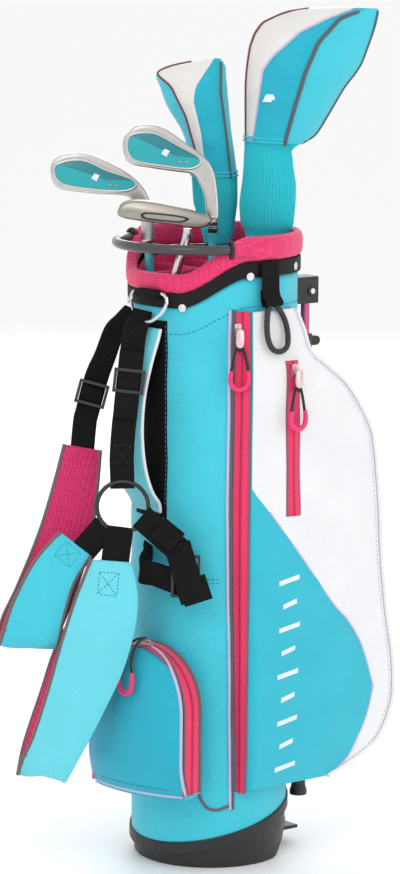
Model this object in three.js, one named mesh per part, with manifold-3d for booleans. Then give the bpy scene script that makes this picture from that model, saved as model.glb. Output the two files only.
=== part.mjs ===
// A junior golf set: a round stand bag with two folding legs, a dual shoulder strap,
// three zipped pockets and five clubs standing grip-down inside it.
//
// Millimetres, +Z up. The origin is the middle of the base's underside.
// +X is the leg side, -X is the strap side, -Y is the side with the tall pocket.
import * as THREE from 'three';
import * as BufferGeometryUtils from 'three/addons/utils/BufferGeometryUtils.js';
import Module from 'manifold-3d';

const wasm = await Module();
wasm.setup();

// ---------------------------------------------------------------- driving dimensions
const GAP = 0.35;

const TUBE_LOW_R = 82.25;
const TUBE_R = 87.5;
const TUBE_WALL = 2.5;
const TAPER_LOW = 40;
const TAPER_HIGH = 580;

const BOOT_SLOPE = 0.264;
const FOOT_TOP = 34.65;
const RIM_LOW = 35;
const RIM_TOP = 47;
const RIM_R = 84.6;
const BEVEL_START = 32;
const BEVEL_SLOPE = Math.atan2(50, 54);

const BAND_LOW = 625;
const BAND_HIGH = 641;
const BAND_R = 90.5;
const PAD_TOP = 667;
const PAD_INNER_R = 80;
const PAD_OUTER_R = 92.5;
const RIM_DROP = 29;
const DIP_FULL = 25;
const DIP_NONE = 75;

const DIVIDER_LOW = 581;
const DIVIDER_BAR_TOP = 627;
const BAR_HALF = 3;
const CROSS_BAR_X = 32.5;
const LONG_BAR_Y = 2;
const SHORT_BAR_X = -18;

const HOOP_Z = 654;
const HOOP_R = 83.2;
const HOOP_BAR_R = 4.5;
const HOOP_CENTRE_X = -24.2;
const HOOP_END_ANGLE = 82;
const HOOP_SOCKET_ANGLE = 56;

const LEG_X = 86;
const LEG_Y = 47;
const LEG_PIVOT_Z = 601;
const LEG_R = 4.7;
const LEG_LENGTH = 520;
const LEG_SPLAY = 4;
const CLAMP_DROP = 54;
const PIN_R = 2.2;

const LEVER_PIN_X = 46;
const LEVER_PIN_Z = 6.5;
const LEVER_PIN_R = 1.9;
const LEVER_HALF = 30;
const PUSH_PIN_X = 97;
const PUSH_PIN_Z = 19;
const STEM_TOP = 62;
const WIRE_TOP_X = 89;
const WIRE_TOP_Y = 35.5;
const WIRE_TOP_Z = 537.5;
const WIRE_R = 1.8;

const VIEW_TURN = THREE.MathUtils.degToRad(-40);
const FLOOR_BUTT_Z = 5.5;
const COLLAR_Z = 624;
const SHAFT_R = 4.6;

// ---------------------------------------------------------------- looks
const LOOKS = {
  teal: [0x4bc8dc, 0.8, 0],
  darkTeal: [0x00a5aa, 0.4, 0],
  pink: [0xf0286e, 0.85, 0],
  rose: [0xbe5a7d, 0.35, 0.6],
  white: [0xebebee, 0.8, 0],
  black: [0x26241f, 0.6, 0],
  plastic: [0x2d2d2d, 0.55, 0],
  silver: [0xc8c6be, 0.3, 1],
  satin: [0xa5a296, 0.45, 1],
  rubber: [0x1e1e1e, 0.9, 0],
  fibre: [0x505560, 0.5, 0],
};

const group = new THREE.Group();

function add(name, geometry, look, parent = group) {
  const [color, roughness, metalness] = LOOKS[look];
  const mesh = new THREE.Mesh(geometry, new THREE.MeshStandardMaterial({ color, roughness, metalness }));
  mesh.name = name;
  parent.add(mesh);
  return mesh;
}

// ---------------------------------------------------------------- geometry helpers
function plain(geometry) {
  const bare = geometry.clone();
  bare.deleteAttribute('normal');
  bare.deleteAttribute('uv');
  return BufferGeometryUtils.mergeVertices(bare, 1e-4);
}

function toSolid(geometry) {
  const welded = plain(geometry);
  return new wasm.Manifold(new wasm.Mesh({
    numProp: 3,
    vertProperties: new Float32Array(welded.attributes.position.array),
    triVerts: new Uint32Array(welded.index.array),
  }));
}

function toGeometry(solid) {
  const mesh = solid.getMesh();
  const geometry = new THREE.BufferGeometry();
  geometry.setAttribute('position', new THREE.BufferAttribute(new Float32Array(mesh.vertProperties), 3));
  geometry.setIndex(new THREE.BufferAttribute(new Uint32Array(mesh.triVerts), 1));
  return geometry;
}

function join(...parts) {
  return toGeometry(parts.map(toSolid).reduce((whole, part) => whole.add(part)));
}

function cut(body, ...tools) {
  return toGeometry(tools.map(toSolid).reduce((whole, tool) => whole.subtract(tool), toSolid(body)));
}

function box(x0, x1, y0, y1, z0, z1) {
  const geometry = new THREE.BoxGeometry(x1 - x0, y1 - y0, z1 - z0);
  return geometry.translate((x0 + x1) / 2, (y0 + y1) / 2, (z0 + z1) / 2);
}

// A solid of revolution about Z from [radius, height] points.
function lathe(profile, sides = 32) {
  const geometry = new THREE.LatheGeometry(profile.map(([r, z]) => new THREE.Vector2(r, z)), sides);
  return outward(plain(geometry.rotateX(Math.PI / 2)));
}

// A round bar between two points.
function rod(from, to, radius, sides = 16) {
  const a = new THREE.Vector3(...from);
  const b = new THREE.Vector3(...to);
  const geometry = new THREE.CylinderGeometry(radius, radius, a.distanceTo(b), sides);
  const turn = new THREE.Quaternion().setFromUnitVectors(
    new THREE.Vector3(0, 1, 0), b.clone().sub(a).normalize());
  geometry.applyQuaternion(turn);
  const middle = a.add(b).multiplyScalar(0.5);
  return geometry.translate(middle.x, middle.y, middle.z);
}

function volume(geometry) {
  const p = geometry.attributes.position;
  const index = geometry.index.array;
  const [a, b, c] = [new THREE.Vector3(), new THREE.Vector3(), new THREE.Vector3()];
  let total = 0;
  for (let i = 0; i < index.length; i += 3) {
    a.fromBufferAttribute(p, index[i]);
    b.fromBufferAttribute(p, index[i + 1]);
    c.fromBufferAttribute(p, index[i + 2]);
    total += a.dot(b.cross(c));
  }
  return total;
}

function outward(geometry) {
  if (volume(geometry) < 0) {
    const index = geometry.index.array;
    for (let i = 0; i < index.length; i += 3) {
      [index[i], index[i + 1]] = [index[i + 1], index[i]];
    }
  }
  return geometry;
}

// Triangles that close a flat outline of 3-D points.
function capFaces(outline) {
  const normal = new THREE.Vector3();
  outline.forEach((p, i) => normal.add(p.clone().cross(outline[(i + 1) % outline.length])));
  normal.normalize();
  const across = new THREE.Vector3(1, 0, 0);
  if (Math.abs(normal.x) > 0.8) across.set(0, 1, 0);
  across.addScaledVector(normal, -across.dot(normal)).normalize();
  const up = normal.clone().cross(across);
  const flat = outline.map((p) => new THREE.Vector2(p.dot(across), p.dot(up)));
  return THREE.ShapeUtils.triangulateShape(flat, []);
}

// A closed solid skinned over rows of points. A ring joins its last row to its first.
function loft(rows, ring = false) {
  const size = rows[0].length;
  const points = rows.flat();
  const faces = [];
  const spans = ring ? rows.length : rows.length - 1;
  for (let r = 0; r < spans; r += 1) {
    const next = (r + 1) % rows.length;
    for (let i = 0; i < size; i += 1) {
      const j = (i + 1) % size;
      faces.push(r * size + i, r * size + j, next * size + j);
      faces.push(r * size + i, next * size + j, next * size + i);
    }
  }
  if (!ring) {
    for (const [a, b, c] of capFaces(rows[0])) faces.push(c, b, a);
    const last = (rows.length - 1) * size;
    for (const [a, b, c] of capFaces(rows.at(-1))) faces.push(last + a, last + b, last + c);
  }
  const geometry = new THREE.BufferGeometry();
  geometry.setAttribute('position', new THREE.Float32BufferAttribute(points.flatMap((p) => p.toArray()), 3));
  geometry.setIndex(faces);
  return outward(geometry);
}

// A flat ribbon along a smooth path. Its width runs from the first to the last of `widths`, and
// its width direction turns from `across` to `acrossEnd`.
function ribbon(path, widths, thickness, across, steps, acrossEnd = across) {
  const curve = new THREE.CatmullRomCurve3(path.map((p) => new THREE.Vector3(...p)), false, 'centripetal');
  const rows = [];
  for (let i = 0; i <= steps; i += 1) {
    const u = i / steps;
    const centre = curve.getPoint(u);
    const along = curve.getTangent(u);
    const place = u * (widths.length - 1);
    const low = Math.min(Math.floor(place), widths.length - 2);
    const half = THREE.MathUtils.lerp(widths[low], widths[low + 1], place - low) / 2;
    const side = new THREE.Vector3(...across).lerp(new THREE.Vector3(...acrossEnd), u);
    side.addScaledVector(along, -along.dot(side)).normalize();
    const face = along.clone().cross(side).normalize();
    rows.push([[1, 1], [-1, 1], [-1, -1], [1, -1]].map(([w, t]) => centre.clone()
      .addScaledVector(side, w * half)
      .addScaledVector(face, (t * thickness) / 2)));
  }
  return loft(rows);
}

// A closed loop of round bar through the given points.
function loop(path, radius, sides, steps) {
  const curve = new THREE.CatmullRomCurve3(path.map((p) => new THREE.Vector3(...p)), true, 'centripetal');
  const frames = curve.computeFrenetFrames(steps, true);
  const rows = [];
  for (let i = 0; i < steps; i += 1) {
    const centre = curve.getPointAt(i / steps);
    const row = [];
    for (let k = 0; k < sides; k += 1) {
      const angle = (2 * Math.PI * k) / sides;
      row.push(centre.clone()
        .addScaledVector(frames.normals[i], radius * Math.cos(angle))
        .addScaledVector(frames.binormals[i], radius * Math.sin(angle)));
    }
    rows.push(row);
  }
  return loft(rows, true);
}

// A round bar bent along an open path.
function bentBar(path, radius, sides, steps) {
  const curve = new THREE.CatmullRomCurve3(path.map((p) => new THREE.Vector3(...p)), false, 'centripetal');
  const section = new THREE.Shape();
  section.absarc(0, 0, radius, 0, 2 * Math.PI, false);
  const options = { steps, curveSegments: sides / 2, extrudePath: curve };
  const geometry = new THREE.ExtrudeGeometry(section, options);
  return outward(plain(geometry));
}

// A plate in the X-Z plane with its thickness along Y.
function plate(outline, y0, y1) {
  const shape = new THREE.Shape(outline.map(([x, z]) => new THREE.Vector2(x, z)));
  const geometry = new THREE.ExtrudeGeometry(shape, { depth: y1 - y0, bevelEnabled: false });
  geometry.rotateX(Math.PI / 2);
  return outward(plain(geometry.translate(0, y1, 0)));
}

// Angles on the bag are counted from -X (the strap side) towards -Y.
function around(degrees, radius, z) {
  const a = THREE.MathUtils.degToRad(degrees);
  return new THREE.Vector3(-radius * Math.cos(a), -radius * Math.sin(a), z);
}

// The top of the bag dips on the strap side.
function rimDrop(degrees) {
  const off = Math.abs(THREE.MathUtils.euclideanModulo(degrees + 180, 360) - 180);
  return -RIM_DROP * (1 - THREE.MathUtils.smoothstep(off, DIP_FULL, DIP_NONE));
}

// The body tube widens a little from the base to the collar.
function tubeRadius(z) {
  const part = THREE.MathUtils.clamp((z - TAPER_LOW) / (TAPER_HIGH - TAPER_LOW), 0, 1);
  return TUBE_LOW_R + (TUBE_R - TUBE_LOW_R) * part;
}

// A ring about the bag's axis. Each [radius, height, rule] point is level, or follows the
// dipped collar ('dip'), or follows the sloping boot ('boot').
function bagRing(section, count = 48) {
  const rows = [];
  for (let i = 0; i < count; i += 1) {
    const degrees = (360 * i) / count;
    rows.push(section.map(([r, z, rule]) => {
      const point = around(degrees, r, z);
      if (rule === 'dip') point.z += rimDrop(degrees);
      if (rule === 'boot') point.z += BOOT_SLOPE * point.x;
      return point;
    }));
  }
  return loft(rows, true);
}

// ---------------------------------------------------------------- base
function bevelTool(inset) {
  const tool = box(0, 200, -120, 120, -120, 0);
  tool.rotateY(-BEVEL_SLOPE);
  return tool.translate(BEVEL_START - inset, 0, 0);
}

function aboveBoot(z) {
  const tool = box(-200, 200, -120, 120, 0, 120);
  tool.rotateY(-Math.atan(BOOT_SLOPE));
  return tool.translate(0, 0, z);
}

function pinHole(x, z, radius) {
  return rod([x, -60, z], [x, 60, z], radius + GAP, 16);
}

function buildBase() {
  const outer = cut(
    lathe([[0, 0], [77, 0], [79, 2.5], [81.5, 34], [81.5, 90], [0, 90]], 48),
    bevelTool(0),
    aboveBoot(FOOT_TOP));
  const inner = cut(lathe([[0, 4], [75, 4], [77.5, 34], [77.5, 91], [0, 91]], 48), bevelTool(6));
  const lugs = [-1, 1].map((side) => cut(
    box(41, 51, Math.min(side * 31, side * 39), Math.max(side * 31, side * 39), 2, 16),
    pinHole(LEVER_PIN_X, LEVER_PIN_Z, LEVER_PIN_R),
  ));
  add('base_foot', join(cut(outer, inner), ...lugs), 'plastic');
  add('base_rim', bagRing([
    [79.2, RIM_LOW, 'boot'], [84, RIM_LOW, 'boot'], [RIM_R, 36, 'boot'], [RIM_R, 46, 'boot'],
    [83.8, RIM_TOP, 'boot'], [82.6, RIM_TOP, 'boot'], [82.6, 39, 'boot'], [79.2, 39, 'boot'],
  ]), 'plastic');
}

function buildLever() {
  const slab = plate([
    [46, 4.6], [82, 13.5], [100, 13.5], [101, 14.5], [101, 16], [100, 17], [81, 17.4], [46, 8.6],
  ], -LEVER_HALF, LEVER_HALF);
  const knuckle = rod([LEVER_PIN_X, -30.6, LEVER_PIN_Z], [LEVER_PIN_X, 30.6, LEVER_PIN_Z], 3.9, 20);
  const ears = [[-9, -5], [5, 9]].flatMap(([y0, y1]) => [
    rod([PUSH_PIN_X, y0, PUSH_PIN_Z], [PUSH_PIN_X, y1, PUSH_PIN_Z], 4.4, 20),
    box(PUSH_PIN_X - 4.4, 101, y0, y1, 15, PUSH_PIN_Z),
  ]);
  const pinBore = rod([PUSH_PIN_X, -5, PUSH_PIN_Z], [PUSH_PIN_X, 5, PUSH_PIN_Z], 4.1, 20);
  add('stand_lever', cut(
    join(slab, knuckle, ...ears), pinBore,
    pinHole(LEVER_PIN_X, LEVER_PIN_Z, LEVER_PIN_R),
    rod([PUSH_PIN_X, -10, PUSH_PIN_Z], [PUSH_PIN_X, 10, PUSH_PIN_Z], LEVER_PIN_R + GAP, 16),
  ), 'plastic');
  add('lever_pin', rod(
    [LEVER_PIN_X, -39.5, LEVER_PIN_Z], [LEVER_PIN_X, 39.5, LEVER_PIN_Z], LEVER_PIN_R, 12), 'silver');
}

// The fork that carries the lever's lift up to the leg clamps: a moulded stem with two wires.
function buildPushFrame() {
  const hub = rod([PUSH_PIN_X, -4.6, PUSH_PIN_Z], [PUSH_PIN_X, 4.6, PUSH_PIN_Z], 3.6, 20);
  const trunnion = rod([PUSH_PIN_X, -8.6, PUSH_PIN_Z], [PUSH_PIN_X, 8.6, PUSH_PIN_Z], LEVER_PIN_R, 16);
  const stem = box(PUSH_PIN_X - 3, PUSH_PIN_X + 2.4, -4, 4, PUSH_PIN_Z, STEM_TOP);
  const wires = [-1, 1].map((side) => rod(
    [96.6, side * 1.9, STEM_TOP - 8], [WIRE_TOP_X, side * WIRE_TOP_Y, WIRE_TOP_Z], WIRE_R, 10));
  add('push_frame', join(hub, trunnion, stem, ...wires), 'plastic');
}

// ---------------------------------------------------------------- bag body and collar
function buildShell() {
  const inner = (z) => tubeRadius(z) - TUBE_WALL;
  const bottom = RIM_LOW + 4 + GAP;
  add('body_tube', bagRing([
    [inner(0), bottom, 'boot'], [tubeRadius(0), bottom, 'boot'], [tubeRadius(70), 70], [TUBE_R, TAPER_HIGH],
    [TUBE_R, BAND_LOW - GAP, 'dip'], [inner(BAND_LOW), BAND_LOW - GAP, 'dip'],
    [inner(TAPER_HIGH), TAPER_HIGH], [inner(70), 70],
  ]), 'teal');
  const lip = inner(BAND_LOW);
  add('collar_band', bagRing([
    [lip, BAND_LOW, 'dip'], [BAND_R, BAND_LOW, 'dip'], [BAND_R, BAND_HIGH, 'dip'], [lip, BAND_HIGH, 'dip'],
  ]), 'black');
  const low = BAND_HIGH + GAP;
  const roll = bagRing([
    [81, low, 'dip'], [91, low, 'dip'], [PAD_OUTER_R, low + 3.5, 'dip'], [PAD_OUTER_R, PAD_TOP - 8, 'dip'],
    [90, PAD_TOP - 2, 'dip'], [86, PAD_TOP, 'dip'], [83, PAD_TOP - 1.5, 'dip'], [80.2, PAD_TOP - 7, 'dip'],
    [PAD_INNER_R, low + 3.5, 'dip'],
  ]);
  const sockets = [-1, 1].map((side) => bentBar(
    hoopPath(side * HOOP_SOCKET_ANGLE, side * (HOOP_END_ANGLE + 2), 6), HOOP_BAR_R + GAP, 12, 12));
  add('collar_pad', cut(roll, ...sockets), 'pink');
  add('spine_stay', rod([0, 71.5, 4.4], [0, 81.3, DIVIDER_LOW - GAP], 3, 12), 'fibre');
}

function buildDivider() {
  const outer = TUBE_R - TUBE_WALL - 0.4;
  const ring = bagRing([
    [PAD_INNER_R + 0.3, DIVIDER_LOW], [outer, DIVIDER_LOW],
    [outer, BAND_HIGH, 'dip'], [PAD_INNER_R + 0.3, BAND_HIGH, 'dip'],
  ]);
  const low = DIVIDER_LOW + 2;
  const [y0, y1] = [LONG_BAR_Y - BAR_HALF, LONG_BAR_Y + BAR_HALF];
  const bars = [
    box(-82, CROSS_BAR_X, y0, y1, low, BAND_HIGH - RIM_DROP - 5),
    box(-78.5, CROSS_BAR_X, y0, y1, low, DIVIDER_BAR_TOP),
    box(CROSS_BAR_X - BAR_HALF, CROSS_BAR_X + BAR_HALF, -76, 76, low, DIVIDER_BAR_TOP),
    box(SHORT_BAR_X - BAR_HALF, SHORT_BAR_X + BAR_HALF, LONG_BAR_Y, 80.5, low, DIVIDER_BAR_TOP),
  ];
  add('top_divider', join(ring, ...bars), 'pink');
  add('divider_panel', box(-79, CROSS_BAR_X - 4, LONG_BAR_Y - 1, LONG_BAR_Y + 1, 60, low - GAP), 'black');
}

function hoopPath(from, to, stations) {
  const path = [];
  for (let i = 0; i <= stations; i += 1) {
    const at = around(from + ((to - from) * i) / stations, HOOP_R, HOOP_Z);
    path.push([at.x + HOOP_CENTRE_X, at.y, at.z]);
  }
  return path;
}

function buildHoop() {
  add('hoop_handle', bentBar(hoopPath(-HOOP_END_ANGLE, HOOP_END_ANGLE, 16), HOOP_BAR_R, 12, 36), 'plastic');
}

// ---------------------------------------------------------------- legs and their linkage
function buildLeg(tag, side) {
  const hip = new THREE.Group();
  hip.position.set(LEG_X, side * LEG_Y, LEG_PIVOT_Z);
  hip.rotation.z = THREE.MathUtils.degToRad(side * LEG_SPLAY);
  group.add(hip);

  const slot = box(-9, 20, -5.6, 5.6, -40, 9);
  const bore = rod([0, -30, 0], [0, 30, 0], PIN_R + GAP, 12);
  const turnBack = new THREE.Matrix4().copy(new THREE.Matrix4().makeRotationZ(hip.rotation.z)).invert();
  const wall = new THREE.CylinderGeometry(TUBE_R + GAP, TUBE_R + GAP, 100, 96).rotateX(Math.PI / 2);
  wall.translate(-LEG_X, -side * LEG_Y, 0).applyMatrix4(turnBack);
  add(`leg_bracket_${tag}`, cut(box(-26, 9, -11, 11, -13, 15), slot, bore, wall), 'plastic', hip);
  add(`leg_pin_${tag}`, rod([0, -10.5, 0], [0, 10.5, 0], PIN_R, 12), 'silver', hip);

  const eye = cut(join(rod([0, -5, 0], [0, 5, 0], 6.4, 20), rod([0, 0, -3], [0, 0, -24], LEG_R, 16)), bore);
  add(`leg_tube_${tag}`, join(eye, rod([0, 0, -20], [0, 0, -LEG_LENGTH], LEG_R, 16)), 'rose', hip);

  const ring = rod([0, 0, -CLAMP_DROP - 8], [0, 0, -CLAMP_DROP + 8], 8, 20);
  const boss = join(box(0, 13, -3.5, 3.5, -CLAMP_DROP - 5, -CLAMP_DROP + 5),
    rod([13, -3.5, -CLAMP_DROP], [13, 3.5, -CLAMP_DROP], 5, 16));
  const arm = box(-3, 5, Math.min(0, -side * 14), Math.max(0, -side * 14), -CLAMP_DROP - 5, -CLAMP_DROP + 3);
  const throat = rod([0, 0, -CLAMP_DROP - 20], [0, 0, -CLAMP_DROP + 20], LEG_R + GAP, 16);
  add(`leg_clamp_${tag}`, cut(join(ring, boss, arm), throat), 'plastic', hip);

  const tip = -LEG_LENGTH - GAP;
  add(`leg_foot_${tag}`, lathe([
    [0, tip], [6.4, tip], [7.2, tip - 3], [7.6, tip - 14], [9.4, tip - 20], [9, tip - 24], [0, tip - 24.5],
  ], 20), 'rubber', hip);
}

// ---------------------------------------------------------------- pockets and zips
// The body tube's outside with a running gap, for cutting what is sewn against it.
function tubeClearance() {
  return lathe([
    [0, 0], [tubeRadius(0) + GAP, 0], [tubeRadius(0) + GAP, TAPER_LOW], [TUBE_R + GAP, TAPER_HIGH],
    [TUBE_R + GAP, BAND_LOW], [0, BAND_LOW],
  ], 48);
}

const TALL_ROOT_Y = 57;

// The tall pocket's half-plan at one height: how far it reaches towards the legs.
function tallPocketRow(z, reach, swell) {
  const front = (x) => -(94 + swell * Math.sin((Math.PI * (x + 36)) / (reach + 36)));
  const back = -85 + 15 * THREE.MathUtils.smoothstep(reach, 40, 120);
  const wall = tubeRadius(z) - 2;
  const rootX = Math.min(Math.sqrt(wall ** 2 - TALL_ROOT_Y ** 2), reach - 12);
  const root = 180 - THREE.MathUtils.radToDeg(Math.acos(rootX / wall));
  const row = [];
  const insides = 4;
  const zipAngle = 73;
  for (let i = 0; i <= insides; i += 1) {
    row.push(around(root + ((zipAngle - root) * i) / insides, wall, z));
  }
  row.push(around(zipAngle, 94, z));
  for (const part of [0.12, 0.32, 0.52, 0.72, 0.88]) {
    const x = -27 + (reach + 21) * part;
    row.push(new THREE.Vector3(x, front(x), z));
  }
  row.push(new THREE.Vector3(reach - 2, (front(reach - 4) + back) / 2 - 2, z));
  row.push(new THREE.Vector3(reach - 5, back, z));
  return row;
}

function buildTallPocket() {
  const stations = [
    [590, 34, 0], [566, 46, 1], [545, 55, 3], [527, 79, 6], [504, 108, 8], [469, 134, 9], [441, 146, 9],
    [376, 155, 9], [311, 160, 9], [255, 168, 9], [210, 177, 9], [177, 180, 8], [150, 177, 7],
    [119, 160, 5], [102, 131, 3], [86, 88, 0],
  ];
  const rows = stations.map(([z, reach, swell]) => tallPocketRow(z, reach, swell));
  add('tall_pocket', cut(loft(rows), tubeClearance()), 'white');
}

const BALL_TOP = 238;
const BALL_BOTTOM = 84;
const BALL_HALF = 62;
const BALL_TURN = 10;
const BALL_ARCH_Z = 176;
const BALL_ZIP_OUT = 108;
const BALL_ZIP_R = 65.4;
const BALL_ZIP_REST = 4;

// A point of the ball pocket: `out` from the bag's axis, `across` its middle plane, at height z.
function onBallPocket(out, across, z) {
  const turn = THREE.MathUtils.degToRad(BALL_TURN);
  return new THREE.Vector3(
    -out * Math.cos(turn) + across * Math.sin(turn),
    -out * Math.sin(turn) - across * Math.cos(turn), z);
}

function ballPocketRow(z) {
  const rise = THREE.MathUtils.clamp((z - BALL_ARCH_Z) / (BALL_TOP + 2 - BALL_ARCH_Z), 0, 1);
  const half = BALL_HALF * Math.sqrt(1 - rise * rise);
  const out = 121 + 12 * THREE.MathUtils.smoothstep(z, BALL_BOTTOM - 20, BALL_BOTTOM + 40) - 14 * rise ** 3;
  const wall = tubeRadius(z) - 2;
  const rootAngle = THREE.MathUtils.radToDeg(Math.asin((half * 0.76) / wall));
  const row = [];
  const insides = 4;
  for (let i = 0; i <= insides; i += 1) {
    row.push(around(BALL_TURN + rootAngle * (1 - (2 * i) / insides), wall, z));
  }
  for (const part of [-0.96, -1, -0.8, -0.4, 0, 0.4, 0.8, 1, 0.96]) {
    const edge = Math.abs(part) === 0.96 ? 14 : 5;
    const inset = Math.abs(part) > 0.9 ? edge : 4 * part * part;
    row.push(onBallPocket(out - inset, part * half, z));
  }
  return row;
}

function buildBallPocket() {
  const heights = [BALL_BOTTOM, 92, 115, 146, BALL_ARCH_Z, 194, 210, 222, 231, BALL_TOP];
  add('ball_pocket', cut(loft(heights.map(ballPocketRow)), tubeClearance()), 'teal');
}

// A zip slider with its lug, in its own frame: +x along the tape, +z away from the cloth.
function sliderBody() {
  return join(box(-7, 6, -4.2, 4.2, 0, 3), box(-4, 4, -1.5, 1.5, 2.9, 5.2));
}

// A pull: a metal tab with a cord bow, hanging along -x from its top.
function pullBow(length) {
  const tab = box(-15, -0.5, -2.6, 2.6, 0, 1.4);
  const bow = loop([
    [-13, 0, 0.7], [-24, 5, 0.7], [-length + 12, 9.5, 0.7], [-length + 3, 7, 0.7],
    [-length, 0, 0.7], [-length + 3, -7, 0.7], [-length + 12, -9.5, 0.7], [-24, -5, 0.7],
  ], 1.5, 8, 26);
  return join(tab, bow);
}

// Places a small part with its +x, +z axes along two directions.
function seat(position, xAxis, zAxis) {
  const spot = new THREE.Group();
  const y = zAxis.clone().cross(xAxis).normalize();
  spot.matrix.makeBasis(xAxis.clone().normalize(), y, zAxis.clone().normalize()).setPosition(position);
  spot.matrix.decompose(spot.position, spot.quaternion, spot.scale);
  group.add(spot);
  return spot;
}

const MAIN_ZIP_ANGLE = 66;
const MAIN_ZIP_TOP = 572;
const VALUABLES_X = 22;
const VALUABLES_TOP = 528;
const UP = new THREE.Vector3(0, 0, 1);

// An upright zip's slider and pull, on the face that looks along `out`.
function buildUprightZip(name, at, out, reach, length) {
  add(`${name}_zip_slider`, sliderBody(), 'silver', seat(at, UP, out));
  add(`${name}_zip_pull`, pullBow(length), 'black', seat(at.clone().addScaledVector(out, reach), UP, out));
}

function buildBallZip() {
  const angle = THREE.MathUtils.degToRad(BALL_ZIP_REST);
  const middle = onBallPocket(BALL_ZIP_OUT, 0, BALL_ARCH_Z);
  const high = BALL_ARCH_Z + BALL_ZIP_R * Math.cos(angle);
  const at = onBallPocket(BALL_ZIP_OUT, BALL_ZIP_R * Math.sin(angle), high);
  const normal = at.clone().sub(middle).normalize();
  const outwards = onBallPocket(1, 0, 0);
  add('ball_zip_slider', sliderBody(), 'silver', seat(at, outwards.clone().cross(normal), normal));
  const across = BALL_ZIP_R * Math.sin(angle) - 1.5;
  const cord = [
    [108, 0, 248], [120, 3, 247.5], [131, 5, 242], [138.5, 6.5, 229], [140.5, 9, 210], [140, 7, 198],
    [140, 0, 194], [140, -7, 198], [140.5, -9, 210], [138.5, -6.5, 229], [131, -5, 242], [120, -3, 247.5],
  ];
  const path = cord.map(([out, offset, z]) => onBallPocket(out, across + offset, z).toArray());
  add('ball_zip_pull', loop(path, 1.5, 8, 28), 'black');
}

function buildZips() {
  const mainOut = around(MAIN_ZIP_ANGLE, 1, 0);
  const mainAt = around(MAIN_ZIP_ANGLE, tubeRadius(MAIN_ZIP_TOP) + 2.4, MAIN_ZIP_TOP);
  buildUprightZip('main', mainAt, mainOut, 7, 62);
  const pocketOut = new THREE.Vector3(0, -1, 0);
  buildUprightZip('valuables', new THREE.Vector3(VALUABLES_X, -104, VALUABLES_TOP), pocketOut, 5.6, 62);
  buildBallZip();
}

// ---------------------------------------------------------------- straps, handle and rings
function buildCarryHandle() {
  add('carry_handle', ribbon(
    [[-89.9, 0, 570], [-92.5, 0, 560], [-101, 0, 534], [-109, 0, 502], [-112, 0, 466], [-109, 0, 430],
      [-101, 0, 403], [-90.5, 0, 388], [-88.2, 0, 378]],
    [44, 48, 50, 50, 48, 44], 3, [0, 1, 0], 20), 'teal');
}

// Across the width of the straps that face the front of the bag.
const STRAP_ACROSS = [0.77, -0.64, 0];

function buildStraps() {
  const dRing = [
    [-97, 14, 606], [-96, -7, 606], [-90.8, -28.5, 606], [-90.5, -33, 600], [-94, -27, 586], [-98, -8, 576],
    [-98.5, 12, 586], [-97.5, 17, 600]];
  add('d_ring', loop(dRing, 1.8, 8, 28), 'silver');
  add('strap_front', ribbon(
    [[-108.5, -4.7, 571], [-113, -6.6, 560], [-117.1, -8.4, 540], [-127.9, -12.9, 488],
      [-132, -14.6, 468], [-136, -17, 422]],
    [25, 25], 2, STRAP_ACROSS, 16), 'black');
  add('strap_rear', ribbon(
    [[-100, 24, 578], [-102, 38, 564], [-104, 51, 536], [-110, 58.2, 512], [-122.4, 57.4, 478],
      [-126, 57, 467], [-130.5, 54, 448]],
    [22, 25, 25], 2, STRAP_ACROSS, 16), 'black');
  const ring = [];
  for (let i = 0; i < 16; i += 1) {
    const a = (Math.PI * i) / 8;
    ring.push([-136 + 26.5 * 0.77 * Math.cos(a), -19 - 26.5 * 0.64 * Math.cos(a), 389 + 26.5 * Math.sin(a)]);
  }
  add('o_ring', loop(ring, 2.3, 8, 30), 'plastic');
}

// A flat moulded frame that webbing threads through.
function glideFrame(width, height) {
  const outer = box(-width / 2, width / 2, -2.2, 2.2, -height / 2, height / 2);
  const slot = box(-width / 2 + 3, width / 2 - 3, -5, 5, -height / 2 + 3, height / 2 - 3);
  return cut(outer, slot);
}

// A glide lies on its webbing, which runs through `at` along `along`.
function buildGlide(name, at, along, across, offset) {
  const up = new THREE.Vector3(...along).normalize().negate();
  const side = new THREE.Vector3(...across);
  side.addScaledVector(up, -up.dot(side)).normalize();
  const place = new THREE.Vector3(...at).addScaledVector(up.clone().cross(side), offset);
  add(name, glideFrame(32, 25), 'plastic', seat(place, side, up));
}

function buildPads() {
  add('shoulder_pad_rear', ribbon(
    [[-131.5, 54, 441], [-143, 52, 395], [-158, 52, 343], [-180, 58, 286], [-195, 60, 257], [-204, 54, 242],
      [-207, 43, 250], [-203, 35, 280], [-190, 26, 319], [-171, 14, 349]],
    [38, 46, 54, 58, 60, 60, 58, 54, 46, 40], 9, STRAP_ACROSS, 26), 'teal');
  add('shoulder_pad_front', ribbon(
    [[-148, -14, 333], [-153, -15, 292], [-165, -8, 238], [-179, 5, 184], [-191, 20, 137], [-197, 31, 113],
      [-194, 41, 108], [-185, 41, 132], [-168, 36, 178], [-151, 29, 230], [-134, 21, 275]],
    [40, 62, 68, 60, 52, 50, 50, 54, 58, 60, 44], 9, STRAP_ACROSS, 28, [0.3, -0.95, 0]), 'teal');
}

function buildLowerStrap() {
  add('strap_lower', ribbon(
    [[-117, -41, 376], [-106, -52, 363], [-97, -61, 353]], [26, 26], 2, [0.5, 0.2, 0.85], 5), 'black');
  const buckle = add('strap_buckle', glideFrame(30, 44), 'plastic');
  buckle.position.set(-90, -66, 318);
  buckle.rotation.set(0, 0, VIEW_TURN);
}

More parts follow.
